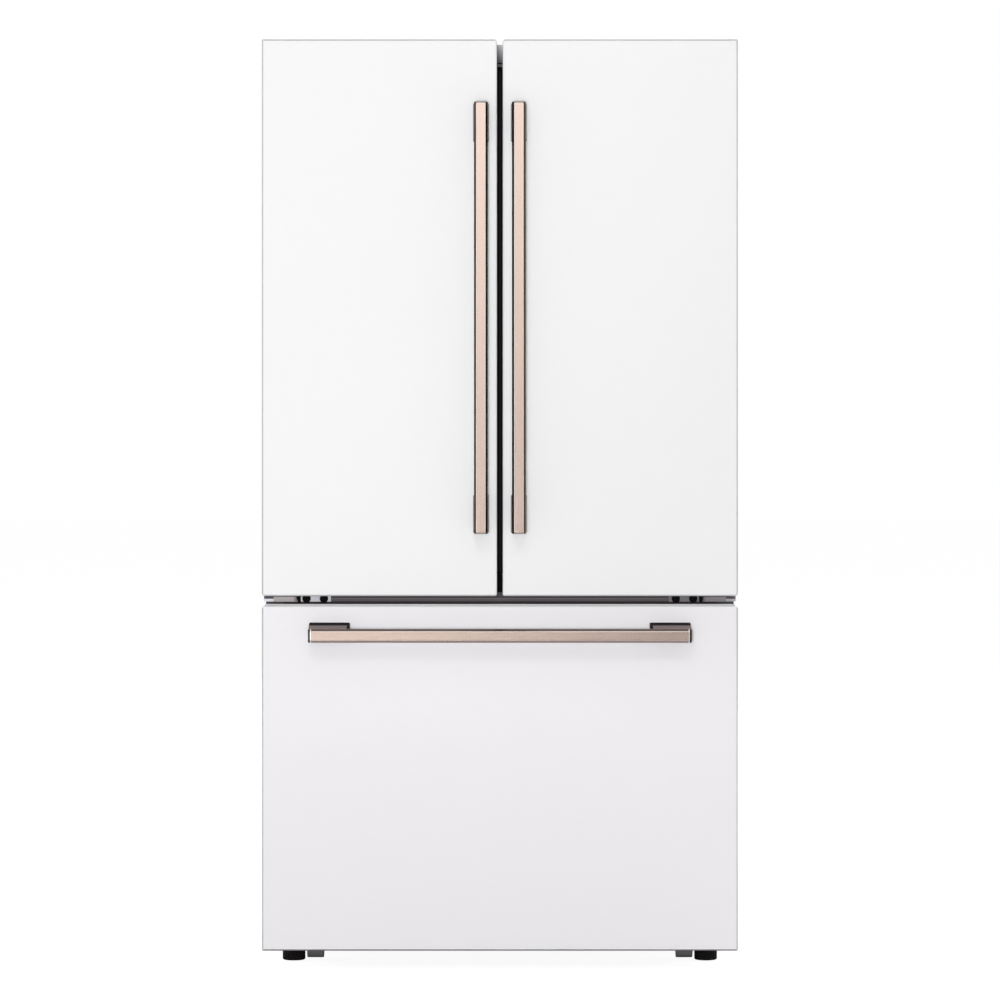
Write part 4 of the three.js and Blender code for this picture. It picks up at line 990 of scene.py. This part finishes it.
# %% World
world = bpy.data.worlds.new("studio")
bpy.context.scene.world = world
world.use_nodes = True
tree = world.node_tree
ambient = tree.nodes["Background"]
ambient.inputs["Color"].default_value = (1, 1, 1, 1)
ambient.inputs["Strength"].default_value = 0.25
white = add_node(tree, "ShaderNodeBackground", Color=(1, 1, 1, 1), Strength=1.0)
path = tree.nodes.new("ShaderNodeLightPath")
seen = combine(tree, "MAXIMUM", path.outputs["Is Camera Ray"], path.outputs["Is Glossy Ray"])
seen = combine(tree, "MAXIMUM", seen, path.outputs["Is Transmission Ray"])
choose = tree.nodes.new("ShaderNodeMixShader")
tree.links.new(seen, choose.inputs[0])
tree.links.new(ambient.outputs[0], choose.inputs[1])
tree.links.new(white.outputs[0], choose.inputs[2])
tree.links.new(choose.outputs[0], tree.nodes["World Output"].inputs["Surface"])
print("ambient strength", ambient.inputs["Strength"].default_value)

# %% [markdown]
# ### Floor
#
# A plain pale floor, so large that its far edge melts into the white room. A studio would curve a
# backdrop up behind the object, but here the world is white already, so one flat square just under
# the feet is enough.

# %% Floor: the sheet
reach = 30.0
floor_z = -0.0005
corners = [(x, y, floor_z) for x, y in ((-reach, -reach), (reach, -reach), (reach, reach), (-reach, reach))]
floor_mesh = bpy.data.meshes.new("floor")
floor_mesh.from_pydata(corners, [], [(0, 1, 2, 3)])
floor = bpy.data.objects.new("floor", floor_mesh)
bpy.context.scene.collection.objects.link(floor)
print("floor", 2 * reach, "m across")

# %% [markdown]
# A floor that only diffuses would turn grey with distance from the lamps. To the camera this one
# mostly glows and diffuses a little, which keeps it white and still lets the object's shadow show.
# To all other rays it is a mid grey, which sets how much light bounces up at the front.

# %% Floor: material
bounce = 0.52                    # share of the light that bounces off the floor
glow_strength = 0.918
diffused = 0.30                  # the part of the floor's white that a shadow can darken
made = surface("floor", (bounce, bounce, bounce, 1), 0.9, Specular_IOR_Level=0.0)
tree = made.node_tree
path = tree.nodes.new("ShaderNodeLightPath")
glow = add_node(tree, "ShaderNodeEmission", Color=(1, 1, 1, 1), Strength=glow_strength)
pale = add_node(tree, "ShaderNodeBsdfDiffuse", Color=(diffused, diffused, diffused, 1))
both = tree.nodes.new("ShaderNodeAddShader")
tree.links.new(glow.outputs[0], both.inputs[0])
tree.links.new(pale.outputs[0], both.inputs[1])
choose = tree.nodes.new("ShaderNodeMixShader")
tree.links.new(path.outputs["Is Camera Ray"], choose.inputs[0])
tree.links.new(shader_of(made).outputs[0], choose.inputs[1])
tree.links.new(both.outputs[0], choose.inputs[2])
tree.links.new(choose.outputs[0], tree.nodes["Material Output"].inputs["Surface"])
floor_mesh.materials.append(made)
print("floor bounces", bounce, "of the light")

# %% [markdown]
# ### Lamps
#
# Soft rectangular lamps, as a studio has. The key beside the camera lights the fronts evenly
# and throws the handles' short soft shadows. A weak one above opens the upper edges, and one on
# each side and one behind show the case, which a single lamp would leave dark. They stay weak
# enough that the white doors keep their tone.


# %% Lamps
def softbox(name, place, aim, size, watts):
    """A rectangular lamp at place that points at aim. Glossy rays don't see it."""
    data = bpy.data.lights.new(name, "AREA")
    data.shape = "RECTANGLE"
    data.size, data.size_y = size
    data.energy = watts
    lamp = bpy.data.objects.new(name, data)
    lamp.location = place
    lamp.rotation_euler = (Vector(aim) - Vector(place)).to_track_quat("-Z", "Y").to_euler()
    lamp.visible_glossy = False
    bpy.context.scene.collection.objects.link(lamp)


softbox("key", place=(-0.3, -8.2, 0.90), aim=(0.0, -0.3, 1.0), size=(0.7, 0.7), watts=352)
softbox("above", place=(-0.5, -6.0, 4.2), aim=(0.0, -0.3, 1.2), size=(1.6, 1.2), watts=40)
softbox("left", place=(-7.0, 1.6, 2.2), aim=(0.0, 0.1, 0.9), size=(2.4, 2.0), watts=290)
softbox("right", place=(7.0, 1.6, 2.2), aim=(0.0, 0.1, 0.9), size=(2.4, 2.0), watts=290)
softbox("behind", place=(0.6, 6.2, 4.4), aim=(0.0, 0.4, 1.1), size=(2.4, 2.0), watts=360)

# %% [markdown]
# ### The reflection card
#
# Copper and gloss paint get their look from what they mirror. The lamps could be mirrored, but they
# leave hard spots. Studios hang a pale card instead, and so does this script: a large upright sheet
# behind the camera that only glossy rays see.

# %% Reflection card: the sheet
card_y = face_y - distance - 0.8
card_half = 9.0
card_bottom = -0.2
card_top = 8.0
corners = [(x, card_y, z) for x, z in ((-card_half, card_bottom), (card_half, card_bottom),
                                       (card_half, card_top), (-card_half, card_top))]
card_mesh = bpy.data.meshes.new("reflection_card")
card_mesh.from_pydata(corners, [], [(0, 1, 2, 3)])
card = bpy.data.objects.new("reflection_card", card_mesh)
bpy.context.scene.collection.objects.link(card)
for ray in ("camera", "diffuse", "transmission", "volume_scatter", "shadow"):
    setattr(card, "visible_" + ray, False)
print("card at y", round(card_y, 2))

# %% [markdown]
# The card is bright at the upper left and dim at the lower right, which gives the bars their
# fall-off. At both far sides it is at least plain white, so that the copper also stays bright when
# it is seen from the side. An image could hold this, but two ramps say it in a few numbers.

# %% Reflection card: its light
lean = -0.76                     # how much height counts against distance to the right
bright_place = -1.30
dim_place = 0.24
brightest = 1.88
flank_start = 2.0                # from the middle, where the sides begin to brighten
flank_end = 3.6
made = bpy.data.materials.new("reflection_card")
made.use_nodes = True
tree = made.node_tree
tree.nodes.clear()
axes = tree.nodes.new("ShaderNodeSeparateXYZ")
tree.links.new(object_coordinates(tree), axes.inputs[0])
slant = add_node(tree, "ShaderNodeMath", operation="MULTIPLY_ADD")
slant.inputs[1].default_value = lean
tree.links.new(axes.outputs["Z"], slant.inputs[0])
tree.links.new(axes.outputs["X"], slant.inputs[2])
level = add_node(tree, "ShaderNodeMapRange", From_Min=bright_place, From_Max=dim_place,
                 To_Min=brightest, To_Max=0.0)
tree.links.new(slant.outputs[0], level.inputs["Value"])
aside = add_node(tree, "ShaderNodeMath", operation="ABSOLUTE")
tree.links.new(axes.outputs["X"], aside.inputs[0])
flank = add_node(tree, "ShaderNodeMapRange", From_Min=flank_start, From_Max=flank_end)
tree.links.new(aside.outputs[0], flank.inputs["Value"])
strength = combine(tree, "MAXIMUM", level.outputs[0], flank.outputs[0])
light = add_node(tree, "ShaderNodeEmission", Color=(1, 1, 1, 1))
tree.links.new(strength, light.inputs["Strength"])
card_output = tree.nodes.new("ShaderNodeOutputMaterial")
tree.links.new(light.outputs[0], card_output.inputs["Surface"])
card_mesh.materials.append(made)
print("card leans by", lean)
